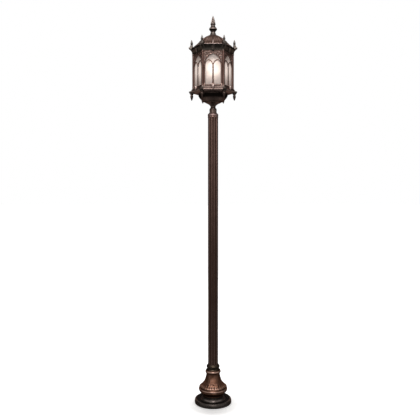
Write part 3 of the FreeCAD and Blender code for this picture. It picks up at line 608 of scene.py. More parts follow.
# copper rubbed through on the crests of the ring, the rim and the leaves, placed and sized as painted highlights;
# painted shade in the groove over the rim, between the leaves and on top of the ring
co = np.zeros(len(bell.data.vertices) * 3)
bell.data.vertices.foreach_get("co", co)
co = co.reshape(-1, 3) / MM
wear_and_painted_light = np.zeros(len(co), np.float32)
bell.data.attributes["wear_and_painted_light"].data.foreach_get("value", wear_and_painted_light)
r_here, z_here = np.hypot(co[:, 0], co[:, 1]), co[:, 2]
fan = palmette(face_angle(np.arctan2(co[:, 1], co[:, 0])), z_here) / 2.7
zone = smoothstep(86.0, 89.0, z_here) * smoothstep(118.0, 104.0, z_here) * (r_here > 44.0)
wear_and_painted_light = 0.35 * wear_and_painted_light - 0.30 * smoothstep(176.0, 178.5, z_here) - 0.35 * np.exp(-(((z_here - 85.2) / 1.8) ** 2)) * (r_here > 70.0) + 1.0 * np.exp(-(((z_here - 171.6) / 2.8) ** 2)) * (r_here > 38.0) + 0.56 * np.exp(-(((z_here - 78.8) / 2.4) ** 2)) * (r_here > 72.0) + zone * (0.70 * fan - 0.22)
bell.data.attributes["wear_and_painted_light"].data.foreach_set("value", np.clip(wear_and_painted_light, -1, 1).astype(np.float32))

collar_prof = profile(
    (28.35, 180.0), (35.8, 180.0, 0.5), [(33.8, 182.5), (32.4, 185.6), (32.8, 188.8)], (34.0, 190.2), (34.6, 191.6),
    [(35.4, 195.2), (35.3, 198.4), (34.6, 200.2)], (33.6, 200.8), (33.2, 201.8), [(32.2, 203.8), (30.6, 205.8)], (29.8, 206.4), (29.6, 207.4), (29.2, 208.5, 0.3), (28.35, 208.5))
piece("collar", lathe(split_long(collar_prof, 3.0), 128), POST, M_OLIVE, ["post_collar"],
      holes=[((0.0, 33.0, 187.0), 2.1, (0.0, 1.0, 0.0), 10.0)])

# =====================================================================  fluted post
N_FL, R_RIDGE, DEPTH = 12, 28.0, 2.4
cols = N_FL * 16
th = np.linspace(0, 2 * math.pi, cols, endpoint=False)
x = ((np.degrees(th) + 90.0 + 15.0) % 30.0) - 15.0        # 0 at the middle of a flute; one faces the front
half = 11.3
hollow = np.sqrt(np.clip(1 - (x / half) ** 2, 0, 1)) ** 1.15 * DEPTH
lip = 0.25 * np.exp(-(((np.abs(x) - half) / 1.1) ** 2))


def post_ring(z, depth_scale, bore=False):
    if bore:
        r = np.full(cols, 23.0)
    else:
        r = R_RIDGE - hollow * depth_scale - (0.12 - lip * 0.4) * (depth_scale > 0.02)
        r = np.minimum(r, R_RIDGE)
    return np.stack([r * np.cos(th), r * np.sin(th), np.full(cols, z)], -1)


zs = [(122.0, 1.0)] + [(z, 1.0) for z in np.linspace(214.0, 1532.0, 24)]
for k in range(1, 9):
    t = k / 8
    zs.append((1532.0 + 10.0 * t, math.sqrt(max(0.0, 1 - t * t))))
zs += [(1544.0, 0.0), (1550.0, 0.0)]
rings = [post_ring(z, s) for z, s in zs]
rings.append(post_ring(1550.0, 0, True))
rings.append(post_ring(122.0, 0, True))
V = np.concatenate(rings, 0)
shaft = piece("fluted_post", (V, grid_faces(len(rings), cols, True)), POST, M_BRONZE, ["post_tube"], sharp=50)
# the coat is rubbed thin along the ridges and stays thick and dull in the flutes
co = np.zeros(len(shaft.data.vertices) * 3)
shaft.data.vertices.foreach_get("co", co)
deep = np.clip((R_RIDGE - np.hypot(co[0::3], co[1::3]) / MM) / DEPTH, 0, 1)
shaft.data.attributes["wear_and_painted_light"].data.foreach_set("value", (0.42 - 0.90 * smoothstep(0.22, 1.0, deep)).astype(np.float32))

cap_prof = profile(
    (10.2, 1512.0), (22.8, 1512.0, 0.5), (22.8, 1550.0), (27.9, 1550.0, 0.4), (28.3, 1551.6), (28.4, 1557.6, 0.8), (27.6, 1559.2), (27.8, 1560.2),
    [(26.2, 1562.4), (23.6, 1564.8)], (22.4, 1565.2), (22.0, 1566.2), (21.4, 1567.0, 0.3), (10.2, 1567.0))
piece("post_top", lathe(split_long(cap_prof, 3.0), 128), POST, M_PINK, ["post_cap"])
neck_prof = profile(
    (10.2, 1567.0), (18.6, 1567.0, 0.5), (19.6, 1568.4, 0.5), (19.6, 1574.4, 0.3), (18.9, 1575.2), (18.9, 1577.0), (19.6, 1577.8, 0.3), (19.6, 1587.4, 0.8),
    [(18.6, 1589.8), (16.9, 1591.6)], (15.9, 1592.2), (15.4, 1593.5, 0.3), (10.2, 1593.5))
piece("neck", lathe(split_long(neck_prof, 2.5), 112), POST, M_BOWL, ["neck_ring"])

# =====================================================================  lantern bowl
bowl_prof = profile(
    (10.2, 1593.5), (14.8, 1593.5, 0.4), (15.2, 1594.6), [(13.8, 1596.6), (13.3, 1599.6), (14.0, 1602.8)], (15.2, 1603.8), (15.6, 1605.2), (16.2, 1606.4),
    [(19.2, 1610.0), (26.6, 1615.2), (36.0, 1619.6), (43.4, 1623.2)], (45.6, 1623.8), (46.2, 1625.4), (48.0, 1625.6),
    [(49.8, 1624.2), (50.8, 1625.0), (52.2, 1626.8)], [(57.0, 1631.2), (65.0, 1639.6), (73.2, 1650.0), (77.9, 1659.0)], (78.9, 1661.8), (78.2, 1662.8), (78.4, 1663.9), (80.2, 1664.7, 0.4), (80.5, 1668.0),
    (75.8, 1668.0), [(74.2, 1661.0), (69.4, 1652.4), (61.4, 1642.0), (53.0, 1634.2), (45.0, 1630.0), (35.0, 1625.4), (24.5, 1620.0), (16.6, 1613.5)], (10.2, 1608.5), per=7)
bowl_prof = split_long(bowl_prof, 2.4)
BOWL_OUT = int(np.argmax(bowl_prof[:, 1] > 1667.9))


def bowl_shape(T, R, Z):
    phi = face_angle(T)                       # 0 mid-face, +-30 at the corners
    row = np.arange(len(R))[:, None] * np.ones_like(R)
    outer = (row > 3) & (row < BOWL_OUT)
    deg = np.degrees(T) + 90.0
    # upper tier: six broad leaves that point down at the corners, with ribs that fan from each tip
    c = (30.0 - np.abs(phi)) / 30.0           # 0 at a corner (leaf's spine), 1 mid-face
    up = smoothstep(1624.6, 1631.0, Z) * smoothstep(1662.5, 1657.0, Z)
    ribs = np.abs(np.cos(np.radians(deg * 21.0))) ** 0.7
    spine = np.exp(-((c / 0.07) ** 2))
    valley = np.exp(-(((1 - c) / 0.06) ** 2))
    d = up * (0.2 + 1.5 * ribs + 1.3 * spine - 1.5 * valley - 0.6)
    # lip between the tiers: drawn down and out into a spur at each corner
    lip = np.exp(-(((Z - 1625.0) / 2.4) ** 2)) * (R > 45)
    spur = np.exp(-((c / 0.13) ** 2))
    d = d - lip * 2.2 * (1 - spur)
    zd = lip * (1 - spur) * 2.0
    # lower tier: fine gadroons
    low = smoothstep(1607.0, 1611.5, Z) * smoothstep(1623.2, 1619.2, Z) * (R < 45)
    d = d + low * (np.abs(np.cos(np.radians(deg * 9.0))) ** 0.7 * 1.3 - 0.9)
    return np.where(outer, R + d, R), np.where(outer, Z + zd, Z)


bowl = piece("bowl", lathe(bowl_prof, 336, bowl_shape), POST, M_BOWL, ["lantern_bowl"])
# painted shadow under the tray: the bowl darker towards its rim
co = np.zeros(len(bowl.data.vertices) * 3)
bowl.data.vertices.foreach_get("co", co)
wear_and_painted_light = np.zeros(len(co) // 3, np.float32)
bowl.data.attributes["wear_and_painted_light"].data.foreach_get("value", wear_and_painted_light)
wear_and_painted_light = wear_and_painted_light - 0.62 * smoothstep(1634.0, 1663.0, co[2::3] / MM)
bowl.data.attributes["wear_and_painted_light"].data.foreach_set("value", np.clip(wear_and_painted_light, -1, 1).astype(np.float32))

# =====================================================================  tray
tray_prof = profile(
    (84, 1697.0), (97.6, 1697.0, 0.4), (98.3, 1696.2), (98.9, 1694.6), [(100.2, 1691.0), (102.2, 1687.0), (104.6, 1683.2)], (105.8, 1681.6), (106.5, 1680.0, 0.4), (106.5, 1676.8, 0.8), (105.4, 1675.4), (104.4, 1674.4, 0.4),
    (84, 1668.0), (11, 1668.0), (11, 1673.0), (84, 1673.0), (95.5, 1676.8), (100.0, 1679.4), (98.4, 1684.0), (96.2, 1688.0), (94.8, 1691), (84, 1691))
piece("tray", hexed(tray_prof, 18), POST, M_TRAY, ["tray_casting"])

# corner brackets of the tray, and rounded corbels at the middle of each side
low_arm = spline([(117.0, 1668.4), (122.6, 1668.6), (126.2, 1672.0), (128.0, 1675.0), (129.6, 1678.4), (129.2, 1681.6), (126.2, 1682.6), (121.6, 1684.0), (117.2, 1687.6), (114.2, 1692.0), (112.2, 1695.6)], 4)
low_loop = [(104.5, 1668.4)] + [tuple(q) for q in low_arm] + [(104.5, 1696.0)]
lower_bracket = slab([low_loop], -7.6, 7.6, 1.3)
band = slab([[(111.0, 1674.0), (126.6, 1674.0), (128.2, 1677.0), (124.6, 1680.6), (116.6, 1683.0), (112.6, 1688.0)]], -8.3, 8.3, 0.6)
tray_brackets = piece("tray_brackets", six(join(lower_bracket, band)), POST, M_BRACKET_LIT, ["tray_casting"])
# painted highlight on the upper slope, painted shade below it
co = np.zeros(len(tray_brackets.data.vertices) * 3)
tray_brackets.data.vertices.foreach_get("co", co)
wear_and_painted_light = 0.6 * smoothstep(1682.0, 1686.0, co[2::3] / MM) - 0.2
tray_brackets.data.attributes["wear_and_painted_light"].data.foreach_set("value", wear_and_painted_light.astype(np.float32))
corbel_prof = profile((0.0, 1682.4), [(2.8, 1682.8), (5.2, 1684.4), (6.8, 1686.8), (7.5, 1689.8)], (7.6, 1692.6), (6.6, 1693.4), (6.6, 1694.6), (7.6, 1695.4, 0.3), (7.6, 1699.8, 0.6), (6.6, 1701.2), (4.6, 1702.0), (0.0, 1702.0), closed=False)
# the corbels wear the pale coat: a painted highlight
piece("corbels", six(lathe(split_long(corbel_prof, 1.6, False), 40, at=(0.0, -104.6))), POST, M_PAINTED_HIGHLIGHT, ["tray_casting"])

pend_prof = profile(
    (0.0, 1633.0), [(1.4, 1634.2), (3.0, 1637.2), (4.6, 1641.2), (6.4, 1646.4), (7.6, 1650.8)], (8.1, 1652.8), (7.4, 1653.8), (7.4, 1654.7), [(8.1, 1656.0), (7.7, 1658.6), (6.4, 1660.8)], (6.0, 1661.4), (6.2, 1662.1),
    [(7.0, 1663.4), (7.6, 1665.4), (8.0, 1667.2)], (8.1, 1668.3), (2.0, 1668.3), (2.0, 1680.0), (0.0, 1680.0), closed=False)


def budded(T, R, Z):
    """Six shallow flutes up a finial's bud."""
    w = smoothstep(1634.0, 1638.0, Z) * smoothstep(1653.0, 1650.0, Z)
    return R * (1 - 0.10 * w * np.abs(np.sin(T * 3.0)) ** 0.8), Z


pendant = lathe(split_long(pend_prof, 1.5, False), 48, budded, at=(114.8, 0.0))
piece("pendants", six(pendant), POST, M_BOWL, ["lower_pendants"])

# =====================================================================  cage: columns
col_prof = profile(
    (0.0, 1697.0), (5.5, 1697.0, 0.2), (5.5, 1700.4, 0.4), (4.6, 1701.4), (4.6, 1702.6), (5.2, 1703.6), (5.2, 1704.8), (4.5, 1705.8), (4.8, 1708.0), (4.8, 1866.0), (4.4, 1867.2), (5.3, 1868.4),
    (5.3, 1869.8), (4.5, 1871.0), (4.5, 1873.0), [(5.0, 1875.0), (5.6, 1878.4)], (5.8, 1879.2), (5.8, 1882.0, 0.2), (0.0, 1882.0), closed=False)
web = slab([[(88.5, 1697.0), (104.4, 1697.0), (104.4, 1882.0), (88.5, 1882.0)]], -2.2, 2.2, 0.3)
flange = slab([[(88.5, 1697.0), (91.5, 1697.0), (91.5, 1882.0), (88.5, 1882.0)]], -9.0, 9.0, 0.3)
nose = lathe(split_long(col_prof, 12.0, False), 32, at=(107.2, 0.0))
piece("corner_columns", six(join(nose, web, flange)), POST, M_COLUMN, ["corner_column_%d" % k for k in range(1, 7)])

# =====================================================================  cage: arched panels
SPAN, SPRING, RISE, SILL = 41.5, 1809.0, 57.0, 1704.0


def arch_curve(u0, left, right, rise, grow, n=14):
    """Pointed arch with its point over u0, from the right springing to the left one."""
    r1, r2 = (right * right + rise * rise) / (2 * right), (left * left + rise * rise) / (2 * left)
    cr, cl = u0 + right - r1, u0 - left + r2
    r1, r2 = r1 + grow, r2 + grow
    ux = (cl * cl - cr * cr + r1 * r1 - r2 * r2) / (2 * (cl - cr))
    apex = math.sqrt(r1 * r1 - (ux - cr) ** 2)
    up_right = [(cr + r1 * math.cos(t), SPRING + r1 * math.sin(t)) for t in np.linspace(0, math.atan2(apex, ux - cr), n)]
    up_left = [(cl - r2 * math.cos(t), SPRING + r2 * math.sin(t)) for t in np.linspace(math.atan2(apex, cl - ux), 0, n)]
    return up_right, up_left


def window(grow, sill):
    right, left = arch_curve(0.0, SPAN, SPAN, RISE, grow, 16)
    w = SPAN + grow
    return [(-w, sill - grow), (w, sill - grow)] + right + left[1:]


def leaf_loop(u, z, length, width, deg, n=9):
    """Pointed oval outline."""
    t = math.radians(deg)
    d, q = np.array([math.cos(t), math.sin(t)]), np.array([-math.sin(t), math.cos(t)])
    h, w = length / 2, width / 2
    r = (h * h + w * w) / (2 * w)
    half = math.asin(min(1.0, h / r))
    pts = []
    for s in np.linspace(-half, half, n):
        pts.append(np.array([u, z]) + d * (r * math.sin(s)) + q * (r * math.cos(s) - (r - w)))
    for s in np.linspace(half, -half, n)[1:-1]:
        pts.append(np.array([u, z]) + d * (r * math.sin(s)) - q * (r * math.cos(s) - (r - w)))
    return [tuple(p) for p in pts]


LEAVES = [(43.6, 1830.0, 14.0, 4.6, 98.0), (42.0, 1848.6, 15.0, 6.4, 72.0), (33.6, 1855.6, 13.0, 5.2, 38.0), (40.2, 1867.6, 12.5, 5.6, -22.0),
          (25.6, 1864.2, 12.5, 5.0, 22.0), (15.4, 1872.6, 12.0, 4.4, 2.0), (29.4, 1874.0, 9.5, 3.6, -6.0)]
BOTH = [(s * u, z, l, w, d if s > 0 else 180.0 - d) for u, z, l, w, d in LEAVES for s in (1, -1)]
rect = [(-48.5, 1697.2), (48.5, 1697.2), (48.5, 1881.7), (-48.5, 1881.7)]
plate = slab([rect, window(0.6, SILL)] + [leaf_loop(*q) for q in BOTH], 89.6, 93.6, 0.35)

roll = [(-1.0, 90.0), (-1.0, 93.9), (-0.4, 94.9), (0.6, 95.3), (1.5, 94.9), (2.0, 94.1), (2.5, 93.7), (3.1, 94.2), (3.7, 93.9), (3.9, 93.2), (3.9, 90.6)]
outline = window(0.0, SILL)
arch_mould = sweep(np.array(outline)[::-1], roll, True)


def bar(path, half, a0, a1):
    sec = [(-half, a0), (-half, a1 - half * 0.7), (-half * 0.72, a1 - half * 0.22), (0.0, a1), (half * 0.72, a1 - half * 0.22), (half, a1 - half * 0.7), (half, a0)]
    return sweep(path, sec, False)


bars = []
for s in (1, -1):
    right, left = arch_curve(s * 25.0, (23.5, 16.5)[s < 0], (16.5, 23.5)[s < 0], 29.0, 0.0, 14)   # the point leans towards the jamb
    bars.append(bar([(u, z - 4.0) for u, z in right + left[1:]], 2.1, 90.2, 94.9))
tracery = join(*bars)


def colonnette(u, prof, depth_c, depth_k, seg=28):
    v, f = lathe(split_long(np.array(prof), 10.0, False), seg)
    return np.stack([v[:, 0] + u, v[:, 1] * depth_k + depth_c, v[:, 2]], -1), f


mull = profile(
    (0.0, 1703.4), (5.4, 1703.4, 0.2), (5.4, 1708.0, 0.4), (4.6, 1709.2), (4.6, 1710.4), (5.2, 1711.6), (5.2, 1712.8), (4.4, 1714.2), (4.5, 1717.0), (3.4, 1789.0), (3.2, 1790.4), (4.3, 1792.2), (4.6, 1794.4), (4.3, 1796.4),
    (3.1, 1798.0), (3.2, 1800.0), (3.0, 1804.0), [(3.3, 1807.0), (4.2, 1810.4)], (4.0, 1812.4), (2.4, 1815.6), (0.0, 1817.0), closed=False)
jamb = profile(
    (0.0, 1698.0), (4.2, 1698.0, 0.2), (4.2, 1706.6, 0.4), (3.4, 1707.8), (3.4, 1709.0), (4.0, 1710.2), (4.0, 1711.4), (3.2, 1712.8), (3.3, 1716.0), (3.0, 1790.0), (2.7, 1791.6), (3.8, 1793.2), (4.1, 1795.2), (3.8, 1797.2),
    (2.8, 1798.8), (2.8, 1801.4), (3.8, 1803.0), (4.1, 1805.0), (3.8, 1807.0), (2.8, 1808.6), (3.0, 1811.0), [(2.4, 1815.0), (1.2, 1821.0)], (0.0, 1824.0), closed=False)
posts = join(colonnette(0.0, mull, 92.9, 0.58), colonnette(45.2, jamb, 93.2, 0.72), colonnette(-45.2, jamb, 93.2, 0.72))

# sill, top rail and the filigree round the leaf openings
def rail(pts):
    v, f = slab([pts], -47.8, 47.8, 0.4)
    return np.stack([v[:, 1], v[:, 0], v[:, 2]], -1), f


rails = join(rail([(89.8, 1697.2), (95.6, 1697.2), (95.6, 1700.0), (94.8, 1700.9), (94.4, 1703.2), (93.6, 1703.8), (89.8, 1703.8)]),
             rail([(89.8, 1875.8), (94.6, 1876.4), (95.6, 1877.6), (95.6, 1880.0), (94.8, 1881.6), (89.8, 1881.6)]))
bead = [(0.9 * math.cos(t) , 93.7 + 1.15 * math.sin(t)) for t in np.linspace(0, 2 * math.pi, 9)[:-1]]
rims = []
for q in BOTH:
    loop = np.array(leaf_loop(q[0], q[1], q[2] + 1.2, q[3] + 1.2, q[4], 8))
    rims.append(sweep(loop[::-1], bead, True))


def petal(u, z, length, width, deg, lift):
    """Small raised leaf with a spine, closed underneath."""
    loop = np.array(leaf_loop(u, z, length, width, deg, 9))
    c = np.array([u, z])
    rows = []
    for s, h in ((1.0, 0.0), (0.92, 0.55), (0.66, 0.92), (0.30, 1.0)):
        p = c + (loop - c) * s
        rows.append(np.stack([p[:, 0], np.full(len(p), 93.2 + h * lift), p[:, 1]], -1))
    n = len(loop)
    v = np.concatenate(rows + [np.array([[u, 93.2 + lift * 0.85, z]]), np.array([[u, 93.0, z]])], 0)
    f = grid_faces(4, n, False)
    top, low = 4 * n, 4 * n + 1
    for j in range(n):
        k = (j + 1) % n
        f.append((3 * n + j, 3 * n + k, top))
        f.append((k, j, low))
    return v, f


PETALS = [(44.8, 1819.6, 9.0, 3.6, 84.0), (44.8, 1840.0, 8.0, 3.6, 100.0), (37.0, 1845.4, 10.0, 3.8, 58.0), (45.0, 1858.6, 7.0, 3.8, 80.0), (39.0, 1860.8, 8.0, 3.6, 10.0), (32.6, 1862.4, 7.0, 2.8, 60.0),
          (22.8, 1858.6, 9.0, 3.0, 38.0), (32.4, 1868.6, 7.0, 3.2, -40.0), (20.2, 1868.8, 7.5, 3.0, 10.0), (45.4, 1872.6, 6.0, 3.6, -60.0), (38.0, 1873.6, 7.0, 3.0, 10.0), (12.6, 1868.2, 8.0, 2.8, 20.0), (7.6, 1873.4, 5.0, 2.8, 90.0),
          (22.6, 1874.0, 5.0, 2.4, 0.0)]
petals = [petal(s * u, z, l, w, d if s > 0 else 180.0 - d, 1.9) for u, z, l, w, d in PETALS for s in (1, -1)]
panel_nodes = ["arch_panel_%d" % k for k in range(1, 7)]
plates = piece("panel_plates", six(face_place(join(plate, rails))), POST, M_PLATE, panel_nodes)
# painted shadow on the bottom rail, darkest along its upper edge under the glass
co = np.zeros(len(plates.data.vertices) * 3)
plates.data.vertices.foreach_get("co", co)
wear_and_painted_light = np.zeros(len(co) // 3, np.float32)
plates.data.attributes["wear_and_painted_light"].data.foreach_get("value", wear_and_painted_light)
wear_and_painted_light = np.where(co[2::3] / MM < 1705.0, np.minimum(wear_and_painted_light, 0.15) - 0.4 * smoothstep(1700.2, 1701.2, co[2::3] / MM), wear_and_painted_light)
plates.data.attributes["wear_and_painted_light"].data.foreach_set("value", np.clip(wear_and_painted_light, -1, 1).astype(np.float32))
arches = piece("panel_arches", six(face_place(arch_mould)), POST, M_LANTERN, panel_nodes)
bars = piece("panel_tracery", six(face_place(tracery)), POST, M_LANTERN, panel_nodes)
colonnettes = piece("panel_colonnettes", six(face_place(posts)), POST, M_LANTERN, panel_nodes)
# painted shade on the flanks of these mouldings: darker where they face sideways along the face
for ob, depth in ((arches, 0.25), (bars, 0.45), (colonnettes, 0.45)):
    n = len(ob.data.vertices)
    co, nor, wear_and_painted_light = np.zeros(n * 3), np.zeros(n * 3), np.zeros(n, np.float32)
    ob.data.vertices.foreach_get("co", co)
    ob.data.vertex_normals.foreach_get("vector", nor)
    ob.data.attributes["wear_and_painted_light"].data.foreach_get("value", wear_and_painted_light)
    turn = np.round((np.arctan2(co[1::3], co[0::3]) + math.radians(90)) / math.radians(60)) * math.radians(60) - math.radians(90)
    across = np.abs(nor[1::3] * np.cos(turn) - nor[0::3] * np.sin(turn))
    wear_and_painted_light = wear_and_painted_light - depth * smoothstep(0.45, 0.85, across)
    ob.data.attributes["wear_and_painted_light"].data.foreach_set("value", np.clip(wear_and_painted_light, -1, 1).astype(np.float32))
piece("panel_foliage", six(face_place(join(*rims, *petals))), POST, M_LEAF, panel_nodes)

# =====================================================================  panes
nu, nz = 18, 36
us = np.linspace(-44.0, 44.0, nu)
zz = np.linspace(1697.0, 1881.7, nz)
U, Z = np.meshgrid(us, zz)
front = np.stack([U, np.full_like(U, 89.0), Z], -1).reshape(-1, 3)
back = np.stack([U, np.full_like(U, 85.0), Z], -1).reshape(-1, 3)
f = grid_faces(nz, nu, False, False)
n = nu * nz
faces = [tuple(q) for q in f] + [tuple(i + n for i in q[::-1]) for q in f]
edge = [i for i in range(nu)] + [r * nu + nu - 1 for r in range(1, nz)] + [(nz - 1) * nu + c for c in range(nu - 2, -1, -1)] + [r * nu for r in range(nz - 2, 0, -1)]
for i in range(len(edge)):
    p, q = edge[i], edge[(i + 1) % len(edge)]
    faces.append((p, q, q + n, p + n))
panes = piece("panes", six(face_place((np.vstack([front, back]), faces))), POST, M_GLASS, ["glass_pane_%d" % k for k in range(1, 7)], sharp=30)
co = np.zeros(len(panes.data.vertices) * 3)
panes.data.vertices.foreach_get("co", co)
co = co.reshape(-1, 3) / MM
# painted glow: the lamp light reaching each point of the glass, set from the bulb's place on the axis
ang = np.radians(face_angle(np.arctan2(co[:, 1], co[:, 0])))
u_here = np.hypot(co[:, 0], co[:, 1]) * np.sin(ang)
up = co[:, 2] - 1786.0
spot = np.exp(-((u_here / 80.0) ** 2) - np.where(up > 0, (np.abs(up) / 46.0) ** 4.0, (np.abs(up) / 51.0) ** 2.3))
g = 0.08 + 0.33 * spot
at = panes.data.attributes.new("glow", "FLOAT", "POINT")
at.data.foreach_set("value", g.astype(np.float32))

# =====================================================================  cornice
cornice_prof = profile(
    (78, 1882.0), (97.2, 1882.0, 0.5), (98.0, 1883.0), (98.0, 1884.8), (97.4, 1885.4), (97.6, 1887.0),
    [(98.2, 1890.2), (99.2, 1894.0), (101.0, 1897.8), (103.4, 1901.4)], (104.4, 1902.6), (104.6, 1903.6), (105.8, 1904.4), (106.4, 1905.4, 0.3), (106.5, 1908.6, 0.8), (105.4, 1910.0), (104.2, 1911.5, 0.4),
    (94.0, 1911.5), (80, 1911.5), (80, 1907.5), (100.6, 1907.5), (98.6, 1904.0), (96.4, 1899.0), (94.8, 1894.0), (94.2, 1887.5), (78, 1887.5))
cornice = piece("cornice", hexed(cornice_prof, 18), POST, M_DARK, ["cornice_casting"])
# painted shade: the upper band darker, and no edge more than a little rubbed
co = np.zeros(len(cornice.data.vertices) * 3)
cornice.data.vertices.foreach_get("co", co)
wear_and_painted_light = np.zeros(len(co) // 3, np.float32)
cornice.data.attributes["wear_and_painted_light"].data.foreach_get("value", wear_and_painted_light)
wear_and_painted_light = np.minimum(wear_and_painted_light, 0.1) - 0.45 * smoothstep(1902.0, 1906.0, co[2::3] / MM)
cornice.data.attributes["wear_and_painted_light"].data.foreach_set("value", np.clip(wear_and_painted_light, -1, 1).astype(np.float32))
up = spline([(108.4, 1893.4), (111.0, 1896.8), (114.2, 1901.2), (118.6, 1905.9), (125.0, 1909.4), (129.4, 1911.8), (130.8, 1914.4), (129.4, 1917.2), (126.0, 1918.8), (123.8, 1921.2), (123.2, 1924.4)], 4)
up_loop = [(104.0, 1893.4)] + [tuple(q) for q in up] + [(123.0, 1926.0), (108.0, 1926.0), (107.2, 1923.0), (107.0, 1911.4), (104.0, 1911.2)]
upper_bracket = slab([up_loop], -11.6, 11.6, 1.3)
ub_band = slab([[(111.0, 1909.4), (122.6, 1909.4), (127.6, 1911.6), (129.2, 1914.4), (127.0, 1916.8), (111.0, 1917.4)]], -12.0, 12.0, 0.6)
piece("cornice_brackets", six(join(upper_bracket, ub_band)), POST, M_BRACKET_LIT, ["cornice_casting"])
key_a = slab([[(96.4, 1876.2), (99.2, 1876.2), (101.2, 1884.0), (102.4, 1890.0), (104.4, 1897.0), (106.2, 1903.8), (96.4, 1903.8)]], -6.6, 6.6, 0.9)
key_v = np.stack([key_a[0][:, 1] * (0.92 + 0.36 * (key_a[0][:, 2] - 1876.0) / 28.0), key_a[0][:, 0], key_a[0][:, 2]], -1)
boss = lathe(profile((0.0, 1878.0), [(2.2, 1878.4), (3.9, 1880.4), (4.4, 1883.0), (3.8, 1885.8), (2.0, 1887.6)], (0.0, 1888.0), closed=False), 24)
boss = (np.stack([boss[0][:, 0], boss[0][:, 1] * 0.7 + 100.4, boss[0][:, 2]], -1), boss[1])
piece("keystones", six(face_place(join((key_v, key_a[1]), boss))), POST, M_DARK, ["cornice_casting"])

# bead along the cornice's upper edge, in a paler coat that paints its highlight
lip_prof = profile((103.8, 1911.4, 0.3), (105.6, 1911.6, 0.6), (105.7, 1914.2, 0.7), (103.8, 1914.8, 0.3))
lip = piece("cornice_lip", hexed(lip_prof, 24), POST, M_LIP_HIGHLIGHT, ["cornice_casting"])
# painted highlight along the middle of each face, painted shade towards the corners
co = np.zeros(len(lip.data.vertices) * 3)
lip.data.vertices.foreach_get("co", co)
wear_and_painted_light = np.zeros(len(co) // 3, np.float32)
lip.data.attributes["wear_and_painted_light"].data.foreach_get("value", wear_and_painted_light)
turn = (np.arctan2(co[1::3], co[0::3]) + math.radians(120)) % math.radians(60) - math.radians(30)
along = np.abs(np.hypot(co[0::3], co[1::3]) * np.sin(turn)) / MM
wear_and_painted_light = wear_and_painted_light - 0.6 * smoothstep(39.5, 43.0, along)
lip.data.attributes["wear_and_painted_light"].data.foreach_set("value", np.clip(wear_and_painted_light, -1, 1).astype(np.float32))

fin_prof = profile(
    (0.0, 1960.5), [(1.3, 1959.0), (2.7, 1955.4), (4.0, 1951.0), (5.4, 1946.2), (6.3, 1942.4)], (6.9, 1940.4), (6.3, 1939.4), (6.3, 1938.4), [(6.8, 1937.2), (6.4, 1935.4), (5.4, 1933.8)], (5.2, 1933.0), (5.5, 1932.3),
    [(6.2, 1931.0), (6.6, 1929.2), (6.9, 1927.4)], (7.0, 1926.0), (2.0, 1926.0), (2.0, 1910.0), (0.0, 1910.0), closed=False)


def budded_up(T, R, Z):
    w = smoothstep(1960.0, 1956.0, Z) * smoothstep(1940.2, 1943.0, Z)
    return R * (1 - 0.10 * w * np.abs(np.sin(T * 3.0)) ** 0.8), Z


piece("upper_finials_turned", six(lathe(split_long(fin_prof, 1.5, False), 48, budded_up, at=(114.8, 0.0))), POST, M_CORNER, ["upper_finials"])

# =====================================================================  roof
OUT = [(91.2, 1912.5), (91.6, 1914.6), (91.0, 1916.2), (89.8, 1917.4), (88.6, 1919.4), (87.2, 1921.8), (84.8, 1924.8), (81.0, 1928.4), (76.0, 1932.2), (71.2, 1937.2), (66.6, 1943.6), (62.4, 1950.0), (57.6, 1956.4), (52.2, 1962.4), (46.0, 1967.6),
       (38.6, 1972.4), (30.0, 1976.6), (22.0, 1980.0), (15.0, 1982.8)]
IN = [(15.0, 1978.8), (20.6, 1976.5), (28.2, 1973.0), (36.4, 1969.0), (43.4, 1964.6), (49.2, 1959.6), (54.4, 1954.0), (59.0, 1947.9), (63.2, 1941.4), (68.2, 1934.6), (73.6, 1929.0), (78.8, 1925.2), (83.6, 1921.8), (85.2, 1917.5), (84.6, 1912.5)]
dome_out = np.vstack([np.array(OUT[:4]), spline(OUT[4:], 5)])
dome_prof = np.vstack([dome_out, np.array(IN)])
N_OUT = len(dome_out)
LOBES = 7


def dome_shape(F, A, Z):
    n = len(A)
    row = np.arange(n)[:, None] * np.ones_like(A)
    grad = np.gradient(dome_prof, axis=0)
    nx, nz_ = grad[:, 1], -grad[:, 0]
    ln = np.hypot(nx, nz_)
    nx, nz_ = (nx / ln)[:, None], (nz_ / ln)[:, None]
    side = A * 2 * math.tan(math.radians(30))
    fade = smoothstep(1919.0, 1923.5, Z) * smoothstep(1982.0, 1972.0, Z)
    lobe = np.abs(np.sin(math.pi * LOBES * F)) ** 0.55
    amp = 2.0 * (A / 90.0) ** 0.6
    d = fade * (amp * (lobe - 0.75))
    edge_mm = np.minimum(F, 1 - F) * side
    hip = 1.5 + 2.4 * smoothstep(1952.0, 1936.0, Z)          # the corner rolls swell towards the eave
    d = d + hip * np.exp(-((edge_mm / 3.2) ** 2)) * smoothstep(1917.0, 1922.5, Z) * smoothstep(1982.0, 1978.0, Z)
    mid = np.abs(F - 0.5) * side
    d = d + fade * 1.1 * np.exp(-((mid / 2.4) ** 2))
    # scalloped eave: each fold ends in a rounded tongue
    tongue = np.exp(-(((Z - 1920.4) / 2.0) ** 2)) * (lobe - 0.7) * 0.5
    d = np.where(row < N_OUT, d + tongue, 0.0)
    return A + d * nx, Z + d * nz_


dome = piece("roof_dome_pleated", hexed(dome_prof, LOBES * 10, dome_shape), ROOF, M_ROOF, ["roof_dome"], sharp=55)
# painted shade along the eave
co = np.zeros(len(dome.data.vertices) * 3)
dome.data.vertices.foreach_get("co", co)
wear_and_painted_light = np.zeros(len(co) // 3, np.float32)
dome.data.attributes["wear_and_painted_light"].data.foreach_get("value", wear_and_painted_light)
wear_and_painted_light = wear_and_painted_light - 0.19 * smoothstep(1923.0, 1920.0, co[2::3] / MM)
dome.data.attributes["wear_and_painted_light"].data.foreach_set("value", np.clip(wear_and_painted_light, -1, 1).astype(np.float32))
